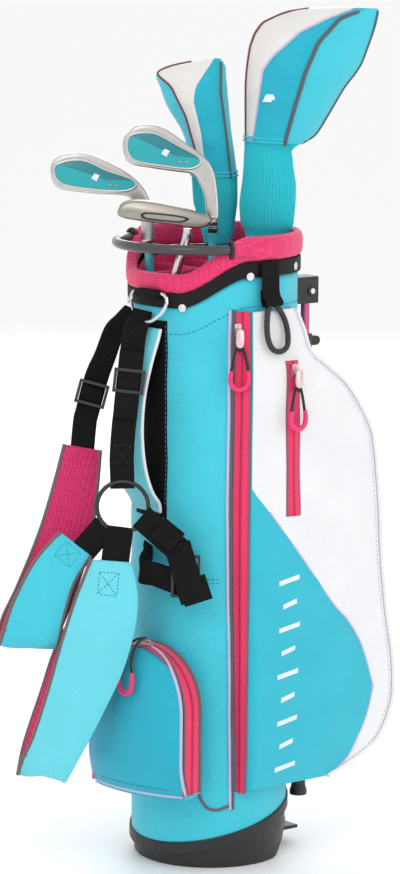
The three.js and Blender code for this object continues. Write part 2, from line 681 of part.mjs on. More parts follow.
function buildTowelRing() {
  add('towel_loop', box(-13, 7, -93.2, -91.2, 601, 641), 'black');
  add('towel_ring', loop([
    [-3, -97, 600], [-9, -97.8, 593], [-12, -99.2, 580], [-12.5, -101, 564], [-8, -103, 552], [2, -103.4, 548],
    [12, -103, 552], [15, -101, 564], [12, -99.2, 580], [4, -97.8, 593],
  ], 3, 8, 30), 'plastic');
}

// ---------------------------------------------------------------- clubs
// A club's own frame starts at the butt of its grip, with +Z up the shaft and +X across the bag.
function clubFrame(butt, collar, buttZ = FLOOR_BUTT_Z) {
  const frame = new THREE.Group();
  const low = new THREE.Vector3(butt[0], butt[1], buttZ);
  const axis = new THREE.Vector3(collar[0], collar[1], COLLAR_Z).sub(low).normalize();
  const lean = new THREE.Quaternion().setFromUnitVectors(UP, axis);
  const turn = new THREE.Quaternion().setFromAxisAngle(UP, VIEW_TURN);
  frame.position.copy(low);
  frame.quaternion.copy(lean.multiply(turn));
  group.add(frame);
  return frame;
}

function addGrip(frame, name, length) {
  add(`${name}_grip`, lathe([
    [0, 0], [8.5, 0], [10.4, 2], [10.4, 5], [9.6, 60], [8, length * 0.7], [7, length], [0, length],
  ], 16), 'rubber', frame);
}

function addShaft(frame, name, from, to, look) {
  add(`${name}_shaft`, lathe([[0, from], [SHAFT_R + 0.9, from], [SHAFT_R, to], [0, to]], 14), look, frame);
}

// An iron head: a blade whose outline is [across, height above the butt], on a round hosel.
function buildIron(name, butt, collar, ferrule, hoselR, blade) {
  const frame = clubFrame(butt, collar);
  addGrip(frame, name, 215);
  addShaft(frame, name, 215 + GAP, ferrule, 'darkTeal');
  const neck = blade[0][1];
  const hosel = lathe([
    [0, ferrule + GAP], [hoselR - 1, ferrule + GAP], [hoselR, ferrule + 7], [hoselR, neck + 6], [0, neck + 9],
  ], 16);
  add(`${name}_head`, join(plate(blade, -5, 5), hosel), 'silver', frame);
}

const LONG_IRON_BLADE = [
  [-6.5, 672], [-9, 683], [-14.5, 689.5], [-23, 697], [-48, 699.5], [-69, 702.5], [-89, 706.5], [-97, 715.5],
  [-98, 731], [-91, 739.5], [-75, 743.5], [-56, 741.5], [-31, 729.5], [-16, 719.5], [-5.5, 708.5], [2.5, 694],
  [6.5, 672],
];

const SHORT_IRON_BLADE = [
  [-5.3, 674], [-10, 698.5], [-17, 714.5], [-24, 720.5], [-40, 722.5], [-65, 725.5], [-86, 729.5],
  [-93.5, 739.5], [-94.5, 754.5], [-89.5, 761], [-81.5, 768.5], [-66.5, 770.5], [-50.5, 765.5],
  [-30.5, 752.5], [-9.5, 737.5], [-0.5, 724.5], [4, 704.5], [5.3, 674],
];

function buildPutter() {
  const frame = clubFrame([-52, -18], [-65, -12.5]);
  addGrip(frame, 'putter', 210);
  add('putter_shaft', join(
    lathe([[0, 210 + GAP], [SHAFT_R + 0.5, 210 + GAP], [SHAFT_R, 600], [0, 600]], 14),
    bentBar(
      [[0, 0, 598], [0, 0, 606], [1.5, 0, 617], [6, 0, 633], [12.4, 0, 652], [14.5, 0, 661], [14.7, 0, 666]],
      SHAFT_R - 0.05, 12, 14),
  ), 'silver', frame);
  const outline = [
    [-57, 682.5], [-54, 691.5], [-46, 695.5], [-34, 696.5], [-8, 692.5], [17, 685.5], [37, 678.5],
    [38.5, 673], [36, 669.5], [23, 667.5], [-3, 671.5], [-34, 675.5], [-50, 678.5]];
  add('putter_head', plate(outline, -14, 8), 'satin', frame);
}

// A rounded slice across a club: from x0 to x1, with the given half-thickness.
function slice(z, x0, x1, half) {
  const row = [];
  const sides = 16;
  for (let i = 0; i < sides; i += 1) {
    const a = (2 * Math.PI * i) / sides;
    const middle = (x0 + x1) / 2;
    row.push(new THREE.Vector3(middle + ((x1 - x0) / 2) * Math.cos(a), half * Math.sin(a), z));
  }
  return row;
}

function skin(slices) {
  return loft(slices.map((values) => slice(...values)));
}

// A knitted sock and padded cover in one: a shell that is open at the bottom.
function addHeadcover(frame, name, slices, wall) {
  const inner = slices.map(([z, x0, x1, half]) => [z, x0 + wall, x1 - wall, half - wall]);
  inner[0][0] -= 2;
  inner.at(-1)[0] -= wall;
  add(`${name}_headcover`, cut(skin(slices), skin(inner)), 'teal', frame);
}

function buildDriver() {
  const frame = clubFrame([30, -24], [48.5, -29.2], 16);
  addGrip(frame, 'driver', 235);
  addShaft(frame, 'driver', 235 + GAP, 741, 'fibre');
  addHeadcover(frame, 'driver', [
    [634, -23, 19, 19], [648, -25, 20.5, 22], [655, -30, 25, 25], [674, -32, 26, 26], [699, -30, 26, 26],
    [717, -29, 22, 25], [734, -29, 19.5, 23], [741, -29.5, 30, 25], [750, -30, 44, 27], [774, -31, 58, 29],
    [801, -32, 72.5, 31], [822, -31, 87, 31], [844, -28, 95, 28], [864, -18, 101, 20], [874, 2, 103, 15],
    [880, 22, 104, 11], [883.5, 58, 103.5, 7],
  ], 3);
  add('driver_head', skin([
    [741 + GAP, -7, 7, 7], [756, -10, 16, 10], [774, -14, 38, 18], [801, -16, 56, 24], [822, -14, 72, 24],
    [842, -8, 80, 20], [856, 6, 84, 12],
  ]), 'fibre', frame);
}

function buildHybrid() {
  const frame = clubFrame([17, 20], [17.7, 16.5]);
  addGrip(frame, 'hybrid', 225);
  addShaft(frame, 'hybrid', 225 + GAP, 735, 'fibre');
  addHeadcover(frame, 'hybrid', [
    [643, -13.5, 14, 14], [657, -16.5, 17, 16], [684, -25, 20, 17], [714, -28, 20, 17], [739, -32, 16.5, 19],
    [761, -39, 13, 21], [787, -55, 10, 23], [806, -62, 8, 22], [820, -66.5, 6.5, 18], [828, -52, 6, 13],
    [834, -26, 3, 9], [837, -14, 0, 6],
  ], 3);
  add('hybrid_head', skin([
    [735 + GAP, -6, 6, 6], [752, -14, 7, 9], [770, -26, 6, 14], [790, -40, 4, 16], [806, -44, 2, 12],
  ]), 'fibre', frame);
}

// ---------------------------------------------------------------- the whole set
buildBase();
buildLever();
buildPushFrame();
buildShell();
buildDivider();
buildHoop();
for (const [tag, side] of [['near', -1], ['far', 1]]) buildLeg(tag, side);
buildTallPocket();
buildBallPocket();
buildZips();
buildCarryHandle();
buildStraps();
buildGlide('strap_glide_front', [-121.9, -10.4, 517], [-19, -8, -92], STRAP_ACROSS, -4);
buildGlide('strap_glide_rear', [-116.2, 57.8, 495], [-12.4, -0.8, -34], STRAP_ACROSS, -4);
buildPads();
buildLowerStrap();
buildTowelRing();
buildIron('iron_long', [-28, 22], [-53, 42], 647, 6.8, LONG_IRON_BLADE);
buildIron('iron_short', [-30, -20], [-21, -21], 668, 5.6, SHORT_IRON_BLADE);
buildPutter();
buildDriver();
buildHybrid();

export default group;
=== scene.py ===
"""Junior golf stand bag with its clubs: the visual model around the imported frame."""
import math

import bmesh
import bpy
import numpy as np
from mathutils import Matrix, Vector


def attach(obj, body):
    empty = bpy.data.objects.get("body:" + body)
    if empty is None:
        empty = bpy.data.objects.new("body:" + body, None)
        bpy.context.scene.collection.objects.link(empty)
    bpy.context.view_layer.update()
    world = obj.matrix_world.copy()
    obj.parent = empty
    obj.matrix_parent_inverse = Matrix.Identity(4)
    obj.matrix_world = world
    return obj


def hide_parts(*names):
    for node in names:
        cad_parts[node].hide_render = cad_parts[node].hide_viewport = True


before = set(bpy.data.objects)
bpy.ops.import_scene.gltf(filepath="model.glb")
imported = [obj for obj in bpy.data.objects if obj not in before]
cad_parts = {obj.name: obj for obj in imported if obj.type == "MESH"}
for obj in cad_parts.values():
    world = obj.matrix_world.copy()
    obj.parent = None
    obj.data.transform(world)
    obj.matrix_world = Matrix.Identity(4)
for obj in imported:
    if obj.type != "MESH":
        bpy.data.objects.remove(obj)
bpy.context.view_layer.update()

MM = 0.001
scene = bpy.context.scene

# Shared sizes, in mm, as in the CAD.
TUBE_RADIUS, TUBE_SPREAD = 82.25, 5.25
MOUTH_DROP = 29
HOOP_CENTRE, HOOP_RADIUS, HOOP_Z = -24.2, 83.2, 654
BALL_TURN = math.radians(10)
BALL_HALF, ARCH_Z, ARCH_RISE, ZIP_RISE = 62, 176, 64, 63.4
CAMERA_SIDE = np.array((-0.64, -0.77, 0.0))
STRAP_ACROSS = (0.77, -0.64, 0)
UP = np.array((0, 0, 1))


# ---------------------------------------------------------------- shape helpers
def clamp(x, low=0.0, high=1.0):
    return min(max(x, low), high)


def smooth(x, a, b):
    t = clamp((x - a) / (b - a))
    return t * t * (3 - 2 * t)


def around(phi, radius, z):
    """A point on the bag's round side: phi turns from the strap side towards the tall pocket."""
    a = math.radians(phi)
    return np.array((-radius * math.cos(a), -radius * math.sin(a), z))


def tube_radius(z):
    """The round body widens a little from the foot to the mouth."""
    return TUBE_RADIUS + TUBE_SPREAD * clamp((z - 40) / 540)


def rim_drop(phi):
    """How far the sloping mouth lies below its height at the back."""
    return -MOUTH_DROP * (1 - smooth(abs(phi), 25, 75))


def table(rows, z):
    """A value read from (value, z) rows, straight between them."""
    rows = sorted(rows, key=lambda r: r[1])
    return float(np.interp(z, [r[1] for r in rows], [r[0] for r in rows]))


def spline(points, step=4.0, closed=False):
    """A smooth curve through the points; columns after the third are carried along."""
    p = np.array(points, float)
    n, out = len(p), []
    for i in range(n if closed else n - 1):
        if closed:
            a, b, c, d = (p[(i + k) % n] for k in (-1, 0, 1, 2))
        else:
            a, b, c, d = (p[min(max(i + k, 0), n - 1)] for k in (-1, 0, 1, 2))
        steps = max(1, round(float(np.linalg.norm((c - b)[:3])) / step))
        for t in np.arange(steps) / steps:
            quad = 2 * a - 5 * b + 4 * c - d
            cube = 3 * b - a - 3 * c + d
            out.append(0.5 * (2 * b + (c - a) * t + quad * t * t + cube * t**3))
    if not closed:
        out.append(p[-1])
    return np.array(out)


def unit(v):
    v = np.array(v, float)
    return v / max(1e-9, float(np.linalg.norm(v)))


def tangents(path, closed=False):
    if closed:
        d = np.roll(path, -1, 0) - np.roll(path, 1, 0)
    else:
        d = np.gradient(path, axis=0)
    return d / np.maximum(np.linalg.norm(d, axis=1), 1e-9)[:, None]


def loft(rows, closed=False):
    """Rings of points joined in order: verts and faces, with a fan over each open end."""
    count, sides = len(rows), len(rows[0])
    verts = [p for row in rows for p in row]
    faces, cells = [], []
    for i in range(count if closed else count - 1):
        for j in range(sides):
            k = (i + 1) % count
            l = (j + 1) % sides
            faces.append((i * sides + j, i * sides + l, k * sides + l, k * sides + j))
            cells.append((i, j))
    if not closed:
        for i in (0, count - 1):
            verts.append(np.mean(np.array(rows[i]), axis=0))
            for j in range(sides):
                faces.append((i * sides + j, i * sides + (j + 1) % sides, len(verts) - 1))
                cells.append((i, j))
    return verts, faces, cells


def piece(name, verts, faces, mats, body="bag", stands_for=(), index=None, lay=None, flat=False, slot=None):
    """One closed mesh, in mm, that rides on a body. lay is an (along, across) pair for each vertex."""
    mesh = bpy.data.meshes.new(name)
    mesh.from_pydata([tuple(float(c) * MM for c in v) for v in verts], [], faces)
    for m in mats:
        mesh.materials.append(m)
    if index is not None:
        mesh.polygons.foreach_set("material_index", index)
    if lay is not None:
        layer = mesh.uv_layers.new(name="lay")
        corners = np.zeros(len(mesh.loops), np.int32)
        mesh.loops.foreach_get("vertex_index", corners)
        layer.data.foreach_set("uv", (np.array(lay, float)[corners] * MM).ravel())
    work = bmesh.new()
    work.from_mesh(mesh)
    bmesh.ops.recalc_face_normals(work, faces=work.faces)
    work.to_mesh(mesh)
    work.free()
    mesh.polygons.foreach_set("use_smooth", [not flat] * len(mesh.polygons))
    obj = bpy.data.objects.new(name, mesh)
    scene.collection.objects.link(obj)
    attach(obj, body)
    slot or SLOT_OF[mats[0].name]
    if stands_for:
        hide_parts(*stands_for)
    return obj


def squared(value, power):
    """A cosine or sine filled out, so that the ring it draws turns boxy."""
    return math.copysign(abs(value) ** power, value)


def circle(count):
    """Evenly spaced angles round a full turn."""
    return [2 * math.pi * j / count for j in range(count)]


def cord_tube(name, points, radius, mat, body="bag", closed=False, step=4.0, sides=10, raw=False,
              stands_for=(), slot=None):
    """A round tube along a smooth curve: piping, wire and cord."""
    path = np.array(points, float) if raw else spline(points, step, closed)
    t = tangents(path, closed)
    side = unit(np.cross(t[0], (0.3, 0.2, 0.9)))
    rows, lay, run = [], [], 0.0
    for i, p in enumerate(path):
        side = unit(side - t[i] * float(side @ t[i]))
        up = np.cross(t[i], side)
        run += float(np.linalg.norm(p - path[i - 1])) if i else 0.0
        r = radius(i / (len(path) - 1)) if callable(radius) else radius
        rows.append([p + r * (math.cos(a) * side + math.sin(a) * up) for a in circle(sides)])
        lay += [(run, r * a) for a in circle(sides)]
    verts, faces, _ = loft(rows, closed)
    lay += [(0, 0)] * (len(verts) - len(lay))
    return piece(name, verts, faces, [mat], body, stands_for, lay=lay, slot=slot)


SECTION_STEPS = 14


def section(kind, width, thick):
    """Half the section's outline from one edge to the other, as (across, out) pairs in mm."""
    top = []
    for i in range(SECTION_STEPS + 1):
        u = math.sin(math.pi * (i / SECTION_STEPS - 0.5))
        if kind == "strap":
            h = (1 - abs(u) ** 8) ** 0.5
        else:  # a pad: a flat bound edge, a sewn channel, then the crown
            a = abs(u)
            h = 0.42 if a > 0.9 else 0.36 if a > 0.84 else 0.5 + 0.5 * (1 - (a / 0.86) ** 3)
            h *= 1.0 if a < 0.999 else 0.0
        top.append((u * width / 2, h * thick / 2))
    return top


def ribbon(name, path, widths, thick, across, mats, body="bag", stands_for=(), kind="strap", under_side=False,
           waves=0.0, step=4.0, lift=0.0):
    """A strap or pad swept along a curve. across is one direction, or one at each end.

    under_side gives the back the second material. Returns the piece and, for each step along it,
    (place, direction, across, out, width)."""
    widths = [widths] * len(path) if np.isscalar(widths) else widths
    line = spline([(*p, w) for p, w in zip(path, widths)], step)
    pts, wide = line[:, :3], line[:, 3]
    t = tangents(pts)
    ends = [unit(a) for a in (across if len(across) == 2 else (across, across))]
    rows, lay, frames, run = [], [], [], 0.0
    for i, p in enumerate(pts):
        f = i / (len(pts) - 1)
        a = unit(ends[0] * (1 - f) + ends[1] * f)
        a = unit(a - t[i] * float(a @ t[i]))
        out = np.cross(a, t[i])
        if out @ (frames[-1][3] if frames else np.array((-0.64, -0.77, 0.1))) < 0:
            out = -out
        run += float(np.linalg.norm(p - pts[i - 1])) if i else 0.0
        top = section(kind, wide[i], thick)
        if kind == "pad":
            top = [(x, y * smooth(min(f, 1 - f), -0.035, 0.04)) for x, y in top]
        wave = waves * math.sin(run * 0.42 + 1.6 * math.sin(run * 0.09))
        half = wide[i] / 2
        fade = [smooth(half - abs(x), 3, 9) for x, y in top]
        pull = [wave * k * (math.exp(-(x + half) / 12) + 0.4 * math.exp(-(half - x) / 8))
                for (x, y), k in zip(top, fade)]
        over = [p + x * a + (y + lift + d * min(1.0, y)) * out for (x, y), d in zip(top, pull)]
        under = [p + x * a + (lift - y) * out for x, y in top[1:-1]][::-1]
        rows.append(over + under)
        lay += [(run, x) for x, y in top + top[1:-1][::-1]]
        frames.append((p, t[i], a, out, wide[i]))
    verts, faces, cells = loft(rows)
    lay += [(0, 0), (run, 0)]
    index = [int(under_side and j >= SECTION_STEPS) for i, j in cells]
    made = piece(name, verts, faces, mats, body, stands_for, index, lay)
    return made, frames


STRIP_BACK = -0.3


def strip(name, count, fracs, heights, point, mats, columns=None, length=100.0, wide=12.0):
    """A thin band laid on a surface. point(along, frac, height) is a point above that surface."""
    rows, lay = [], []
    for i in range(count + 1):
        s = i / count
        rows.append([point(s, f, h) for f, h in zip(fracs, heights)])
        rows[-1] += [point(s, f, STRIP_BACK) for f in fracs[::-1]]
        lay += [(s * length, f * wide) for f in fracs + fracs[::-1]]
    verts, faces, cells = loft(rows)
    lay += [(0, 0), (length, 0)]
    index = [columns[j] if columns and j < len(columns) else 0 for i, j in cells]
    return piece(name, verts, faces, mats, index=index, lay=lay)


def stitches(name, points, outs, mat, dash=3.2, gap=1.8, radius=0.42, slot=None):
    """A row of sewn stitches: short rounded dashes along a line, half sunk in the cloth."""
    line = spline([(*p, *o) for p, o in zip(points, outs)], 1.0)
    run = np.concatenate(([0], np.cumsum(np.linalg.norm(np.diff(line[:, :3], axis=0), axis=1))))
    verts, faces = [], []
    s = 0.0
    while s + dash < run[-1]:
        row = [np.array([np.interp(s + dash * k, run, line[:, c]) for c in range(6)])
               for k in (0, 0.25, 0.75, 1)]
        t = unit(row[3][:3] - row[0][:3])
        base = len(verts)
        for k, q in enumerate(row):
            out = unit(q[3:])
            side = np.cross(t, out)
            r = radius * (0.45 if k in (0, 3) else 1)
            low = q[:3] + out * (0.15 if k in (1, 2) else -0.1)
            verts += [low + r * (math.cos(a) * side + math.sin(a) * out) for a in circle(6)]
        for k in range(3):
            for j in range(6):
                a, b = base + k * 6 + j, base + k * 6 + (j + 1) % 6
                faces.append((a, b, b + 6, a + 6))
        faces += [tuple(base + j for j in range(6)), tuple(base + 18 + j for j in range(6))]
        s += dash + gap
    return piece(name, verts, faces, [mat], slot=slot)


# ---------------------------------------------------------------- materials
def linear(rgb):
    return [(c / 12.92 if c <= 0.04045 else ((c + 0.055) / 1.055) ** 2.4) for c in (x / 255 for x in rgb)]


def surface(name, rgb, rough, pattern="grain", size=1.0, depth=0.2, dark=0.8, metal=0.0, sheen=0.0, coat=0.0,
            spread=0.07, blotch=0.045, folds=0.0, specular=0.5, low=0.25):
    """A node material. size is the pattern's pitch in mm, dark shades its hollows and folds is the height of
    a crease; spread and blotch vary roughness and tone, and low is how strong that tone is."""
    mat = bpy.data.materials.new(name)
    mat.use_nodes = True
    tree = mat.node_tree

    def fill(node, inputs):
        for key, value in inputs.items():
            if isinstance(value, bpy.types.NodeSocket):
                tree.links.new(value, node.inputs[key])
            else:
                node.inputs[key].default_value = value

    def add(kind, output, inputs, **settings):
        node = tree.nodes.new("ShaderNode" + kind)
        for key, value in settings.items():
            setattr(node, key, value)
        fill(node, inputs)
        return node.outputs[output]

    on_cord = pattern in ("ribs", "coil")
    coords = add("UVMap", "UV", {}, uv_map="lay") if on_cord else add("TexCoord", "Object", {})
    pitch = 1000 / size

    def wave(direction, distortion=0.4):
        return add("TexWave", "Color", {"Scale": pitch * 0.314, "Distortion": distortion, "Detail": 1.0,
                                        "Vector": coords}, bands_direction=direction)

    def noise(scale, detail=3.0, vector=coords):
        return add("TexNoise", "Fac", {"Scale": scale, "Detail": detail, "Vector": vector})

    if pattern == "weave":
        height = add("Math", 0, {0: wave("DIAGONAL"), 1: wave("Z")}, operation="ADD")
    elif pattern == "mesh":
        edge = add("TexVoronoi", "Distance", {"Scale": pitch, "Randomness": 0.35, "Vector": coords},
                   feature="DISTANCE_TO_EDGE")
        height = add("MapRange", "Result", {"From Max": 0.32, "To Min": 1.0, "To Max": 0.0, "Value": edge})
    elif pattern in ("ribs", "coil"):
        height = wave("X", 0.15 if pattern == "ribs" else 0.0)
    elif pattern == "brush":
        height = noise(220, 4.0, add("Mapping", "Vector", {"Scale": (1.0, 1.0, 0.06), "Vector": coords}))
    elif pattern == "rows":
        height = wave("Z", 0.3)
    else:
        height = noise(pitch, 4.0)
    relief = {"Strength": 0.65, "Distance": depth * MM, "Height": height}
    if folds:
        crease = {"Strength": 0.7, "Distance": folds * MM, "Height": noise(26, 2.0)}
        relief["Normal"] = add("Bump", "Normal", crease)
    shade = add("MapRange", "Result", {"To Min": 1.0, "To Max": 0.0, "Value": height})
    base = linear(rgb)
    shaded = add("Mix", "Result", {"Factor": shade, "A": (*base, 1), "B": (*[c * dark for c in base], 1)},
                 data_type="RGBA")
    ramp = tree.nodes.new("ShaderNodeValToRGB")
    first, last = ramp.color_ramp.elements
    first.position, last.position = 0.3, 0.7
    first.color = (0.72, 0.74, 0.76, 1)
    fill(ramp, {"Fac": noise(1 / blotch, 4.0)})
    fill(tree.nodes["Principled BSDF"], {
        "Base Color": add("Mix", "Result", {"Factor": low, "A": shaded, "B": ramp.outputs["Color"]},
                          data_type="RGBA", blend_type="MULTIPLY"),
        "Roughness": add("MapRange", "Result", {"To Min": max(0.02, rough - spread),
                                                "To Max": min(1.0, rough + spread), "Value": noise(90)}),
        "Normal": add("Bump", "Normal", relief), "Metallic": metal, "Sheen Weight": sheen,
        "Coat Weight": coat, "Specular IOR Level": specular,
    })
    return mat


CLOTH = dict(pattern="weave", size=1.1, depth=0.22, sheen=0.25, specular=0.35)
TEAL = surface("teal_cloth", (62, 200, 219), 0.62, folds=2.4, dark=0.86, **CLOTH)
TEAL_LIGHT = surface("teal_cloth_light", (104, 214, 229), 0.6, folds=1.6, dark=0.88, **CLOTH)
TEAL_DEEP = surface("teal_cloth_deep", (18, 176, 200), 0.62, folds=1.8, dark=0.86, **CLOTH)
ROSE_STEEL = surface("rose_steel", (236, 206, 208), 0.26, "brush", 1.0, 0.03, 0.9, metal=0.9, spread=0.06)
WHITE = surface("white_cloth", (236, 237, 239), 0.6, folds=1.6, dark=0.93, **CLOTH)
COVER_WHITE = surface("cover_leatherette", (222, 220, 216), 0.45, "grain", 0.7, 0.06, 0.95, folds=1.0)
TEAL_MID = surface("teal_cloth_mid", (40, 188, 209), 0.62, folds=2.0, dark=0.86, **CLOTH)
BLACK_CLOTH = surface("black_cloth", (17, 16, 18), 0.8, "weave", 1.1, 0.2, 0.6, specular=0.15)
BAND = surface("collar_band_cloth", (17, 15, 16), 0.62, "weave", 2.2, 0.3, 0.6, specular=0.25)
PINK_MESH = surface("pink_spacer_mesh", (242, 38, 108), 0.62, "mesh", 3.4, 0.8, 0.62, sheen=0.2, low=0.12)
PAD_MESH = surface("pad_mesh", (228, 24, 108), 0.66, "mesh", 3.0, 0.8, 0.5, sheen=0.2, low=0.12)
ZIP_TAPE = surface("zip_tape", (248, 36, 98), 0.6, "coil", 1.6, 0.3, 0.8, sheen=0.2)
ZIP_COIL = surface("zip_coil", (214, 22, 88), 0.4, "coil", 1.9, 0.8, 0.45)
MAUVE = surface("mauve_tape", (150, 84, 108), 0.65, "coil", 1.4, 0.25, 0.75, sheen=0.2)
BINDING = surface("brown_binding", (116, 96, 98), 0.7, "coil", 1.6, 0.3, 0.7, sheen=0.25)
PIPING = surface("lavender_piping", (196, 190, 222), 0.5, "coil", 2.4, 0.2, 0.86, sheen=0.2)
WHITE_PIPING = surface("white_piping", (236, 234, 238), 0.5, "coil", 2.4, 0.2, 0.88, sheen=0.2)
GREY_PIPING = surface("grey_piping", (86, 88, 94), 0.5, "coil", 2.4, 0.25, 0.7, sheen=0.2)
MAROON = surface("maroon_piping", (120, 40, 62), 0.5, "coil", 2.2, 0.25, 0.7, sheen=0.2)
KNIT = surface("rib_knit", (20, 200, 214), 0.8, "rows", 1.3, 0.3, 0.86, sheen=0.3, low=0.15)
WEBBING = surface("webbing", (17, 16, 15), 0.75, "ribs", 2.3, 1.2, 0.3, specular=0.2, low=0.1)
PLASTIC = surface("moulded_plastic", (34, 34, 36), 0.42, "grain", 0.9, 0.12, 0.85, spread=0.1)
BASE_PLASTIC = surface("base_plastic", (29, 29, 30), 0.46, "grain", 1.2, 0.2, 0.8, spread=0.12, blotch=0.02)
CORD = surface("black_cord", (24, 22, 24), 0.7, "rows", 1.6, 0.4, 0.5, sheen=0.2)
STEEL = surface("bright_steel", (226, 226, 230), 0.2, "brush", 1.0, 0.03, 0.9, metal=1.0, spread=0.06)
SATIN_HOOP = surface("satin_hoop", (58, 57, 60), 0.3, "grain", 0.8, 0.05, 0.88, coat=0.3, spread=0.06)
ROSE = surface("rose_anodised", (206, 96, 134), 0.26, "brush", 1.0, 0.03, 0.88, metal=0.85, spread=0.06)
IRON = surface("satin_iron", (206, 204, 200), 0.3, "brush", 1.0, 0.05, 0.88, metal=1.0, spread=0.08,
               blotch=0.012)
PUTTER = surface("putter_satin", (172, 166, 156), 0.34, "grain", 0.9, 0.07, 0.85, metal=0.9, spread=0.08)
BADGE = surface("cavity_teal", (6, 170, 178), 0.35, "grain", 0.7, 0.05, 0.85, coat=0.4)
BADGE_DARK = surface("cavity_teal_dark", (0, 128, 140), 0.35, "grain", 0.7, 0.05, 0.85, coat=0.4)
SHAFT = surface("teal_shaft_lacquer", (24, 178, 198), 0.22, "brush", 1.0, 0.03, 0.9, coat=0.6, spread=0.04)
CARBON = surface("graphite_lacquer", (40, 42, 46), 0.24, "grain", 1.5, 0.05, 0.6, coat=0.5, spread=0.04)
RUBBER = surface("grip_rubber", (36, 36, 38), 0.75, "weave", 2.4, 0.5, 0.6)
MARK = surface("pale_mark", (226, 236, 240), 0.5, "grain", 0.8, 0.04, 0.92)
PINK_GRIP = surface("pink_moulded_grip", (240, 44, 112), 0.38, "grain", 0.8, 0.06, 0.9)
THREAD = surface("white_thread", (224, 224, 230), 0.7, "grain", 0.5, 0.08, 0.7, sheen=0.2)
DARK_THREAD = surface("teal_thread", (18, 132, 150), 0.7, "grain", 0.5, 0.08, 0.7, sheen=0.2)


SLOTS = {
    "teal_fabric": (TEAL, TEAL_LIGHT, PAD_MESH, COVER_WHITE, DARK_THREAD),
    "white_fabric": (TEAL_MID, PIPING, BINDING, WHITE_PIPING, GREY_PIPING, MAROON, MARK, THREAD),
    "pink_mesh": (ZIP_TAPE, PINK_MESH), "black_webbing": (BLACK_CLOTH, BAND, WEBBING), "teal_knit": (KNIT,),
    "black_plastic": (PLASTIC, SATIN_HOOP), "bright_metal": (STEEL, ROSE_STEEL), "rubber": (PINK_GRIP,),
    "iron_head": (IRON,), "putter_head": (PUTTER,), "teal_shaft": (BADGE, BADGE_DARK),
}
# The slot of a piece, by the name of its first material.
SLOT_OF = {mat.name: slot for slot, mats in SLOTS.items() for mat in mats}


def paint(names, mat):
    """Gives carried-over CAD nodes their finish."""
    for name in names.split():
        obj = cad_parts[name]
        if not obj.material_slots:
            obj.data.materials.append(mat)
        for s in obj.material_slots:
            s.material = mat


for mat, names in (
    (BASE_PLASTIC, "base_foot base_rim"), (SATIN_HOOP, "hoop_handle"), (STEEL, "d_ring putter_shaft"),
    (PLASTIC, "lever_pin leg_pin_near leg_pin_far leg_bracket_near leg_bracket_far"),
    (PLASTIC, "o_ring strap_buckle towel_ring stand_lever push_frame leg_clamp_near leg_clamp_far"),
    (PLASTIC, "leg_foot_near leg_foot_far strap_glide_front strap_glide_rear"),
    (CARBON, "spine_stay driver_shaft hybrid_shaft driver_head hybrid_head"),
    (SHAFT, "iron_long_shaft iron_short_shaft"), (ROSE, "leg_tube_near leg_tube_far"),
    (RUBBER, "iron_long_grip iron_short_grip putter_grip driver_grip hybrid_grip"),
    (ROSE_STEEL, "main_zip_slider valuables_zip_slider ball_zip_slider"),
    (CORD, "main_zip_pull valuables_zip_pull ball_zip_pull"),
):
    paint(names, mat)


# ---------------------------------------------------------------- camera, floor and light
AZIMUTH, ELEVATION, ROLL = (math.radians(d) for d in (-40, 9, 0.57))
DISTANCE, LENS, SENSOR = 4.0, 156.52, 36
TARGET = Vector((-0.010, 0.0084, 0.4462))
FLOOR = 40
LIGHTS_AIM = Vector((0, 0, 0.42))


def set_camera():
    a, e = AZIMUTH, ELEVATION
    back = Vector((math.sin(a) * math.cos(e), -math.cos(a) * math.cos(e), math.sin(e)))
    right = Vector((math.cos(a), math.sin(a), 0))
    up = back.cross(right)
    x = right * math.cos(ROLL) + up * math.sin(ROLL)
    y = up * math.cos(ROLL) - right * math.sin(ROLL)
    data = bpy.data.cameras.new("camera")
    data.lens, data.sensor_width, data.clip_end = LENS, SENSOR, 60
    cam = bpy.data.objects.new("camera", data)
    scene.collection.objects.link(cam)
    spin = Matrix((x, y, back)).transposed().to_4x4()
    cam.matrix_world = Matrix.Translation(TARGET + back * DISTANCE) @ spin
    scene.camera = cam


def area_light(name, place, size, power):
    data = bpy.data.lights.new(name, "AREA")
    data.size, data.energy = size, power
    obj = bpy.data.objects.new(name, data)
    obj.location = place
    obj.rotation_euler = (LIGHTS_AIM - Vector(place)).to_track_quat("-Z", "Y").to_euler()
    scene.collection.objects.link(obj)


def set_stage():
    mesh = bpy.data.meshes.new("floor")
    mesh.from_pydata([(x * FLOOR, y * FLOOR, 0) for x, y in ((-1, -1), (1, -1), (1, 1), (-1, 1))], [],
                     [(0, 1, 2, 3)])
    floor = bpy.data.objects.new("floor", mesh)
    scene.collection.objects.link(floor)
    mat = surface("floor_paint", (252, 252, 253), 0.6, "grain", 40, 0.02, 0.98, low=0.04)
    mesh.materials.append(mat)
    world = bpy.data.worlds.new("studio")
    world.use_nodes = True
    back = world.node_tree.nodes["Background"]
    back.inputs["Color"].default_value = (1.0, 1.0, 1.0, 1)
    back.inputs["Strength"].default_value = 0.98
    scene.world = world
    area_light("key", (-2.6, -1.6, 2.6), 1.8, 24)
    area_light("fill", (0.9, -3.0, 1.3), 2.4, 14)
    area_light("rear", (2.2, 2.2, 2.2), 2.0, 30)
    scene.view_settings.view_transform = "Standard"


set_camera()
set_stage()


# ---------------------------------------------------------------- the bag's round body
def ripple(phi, z):
    """Soft horizontal slack in the body cloth."""
    a = math.radians(phi)
    hold = smooth(z, 70, 130) * (1 - smooth(z, 540, 590))
    slack = math.sin(0.052 * z + 2 * math.sin(a + 0.4)) + 0.7 * math.sin(0.11 * z + 1.7 * math.cos(2 * a))
    return hold * (0.55 * slack + 0.3 * math.sin(0.021 * z + 5 * a))


CLOTH_WALL = 2.4


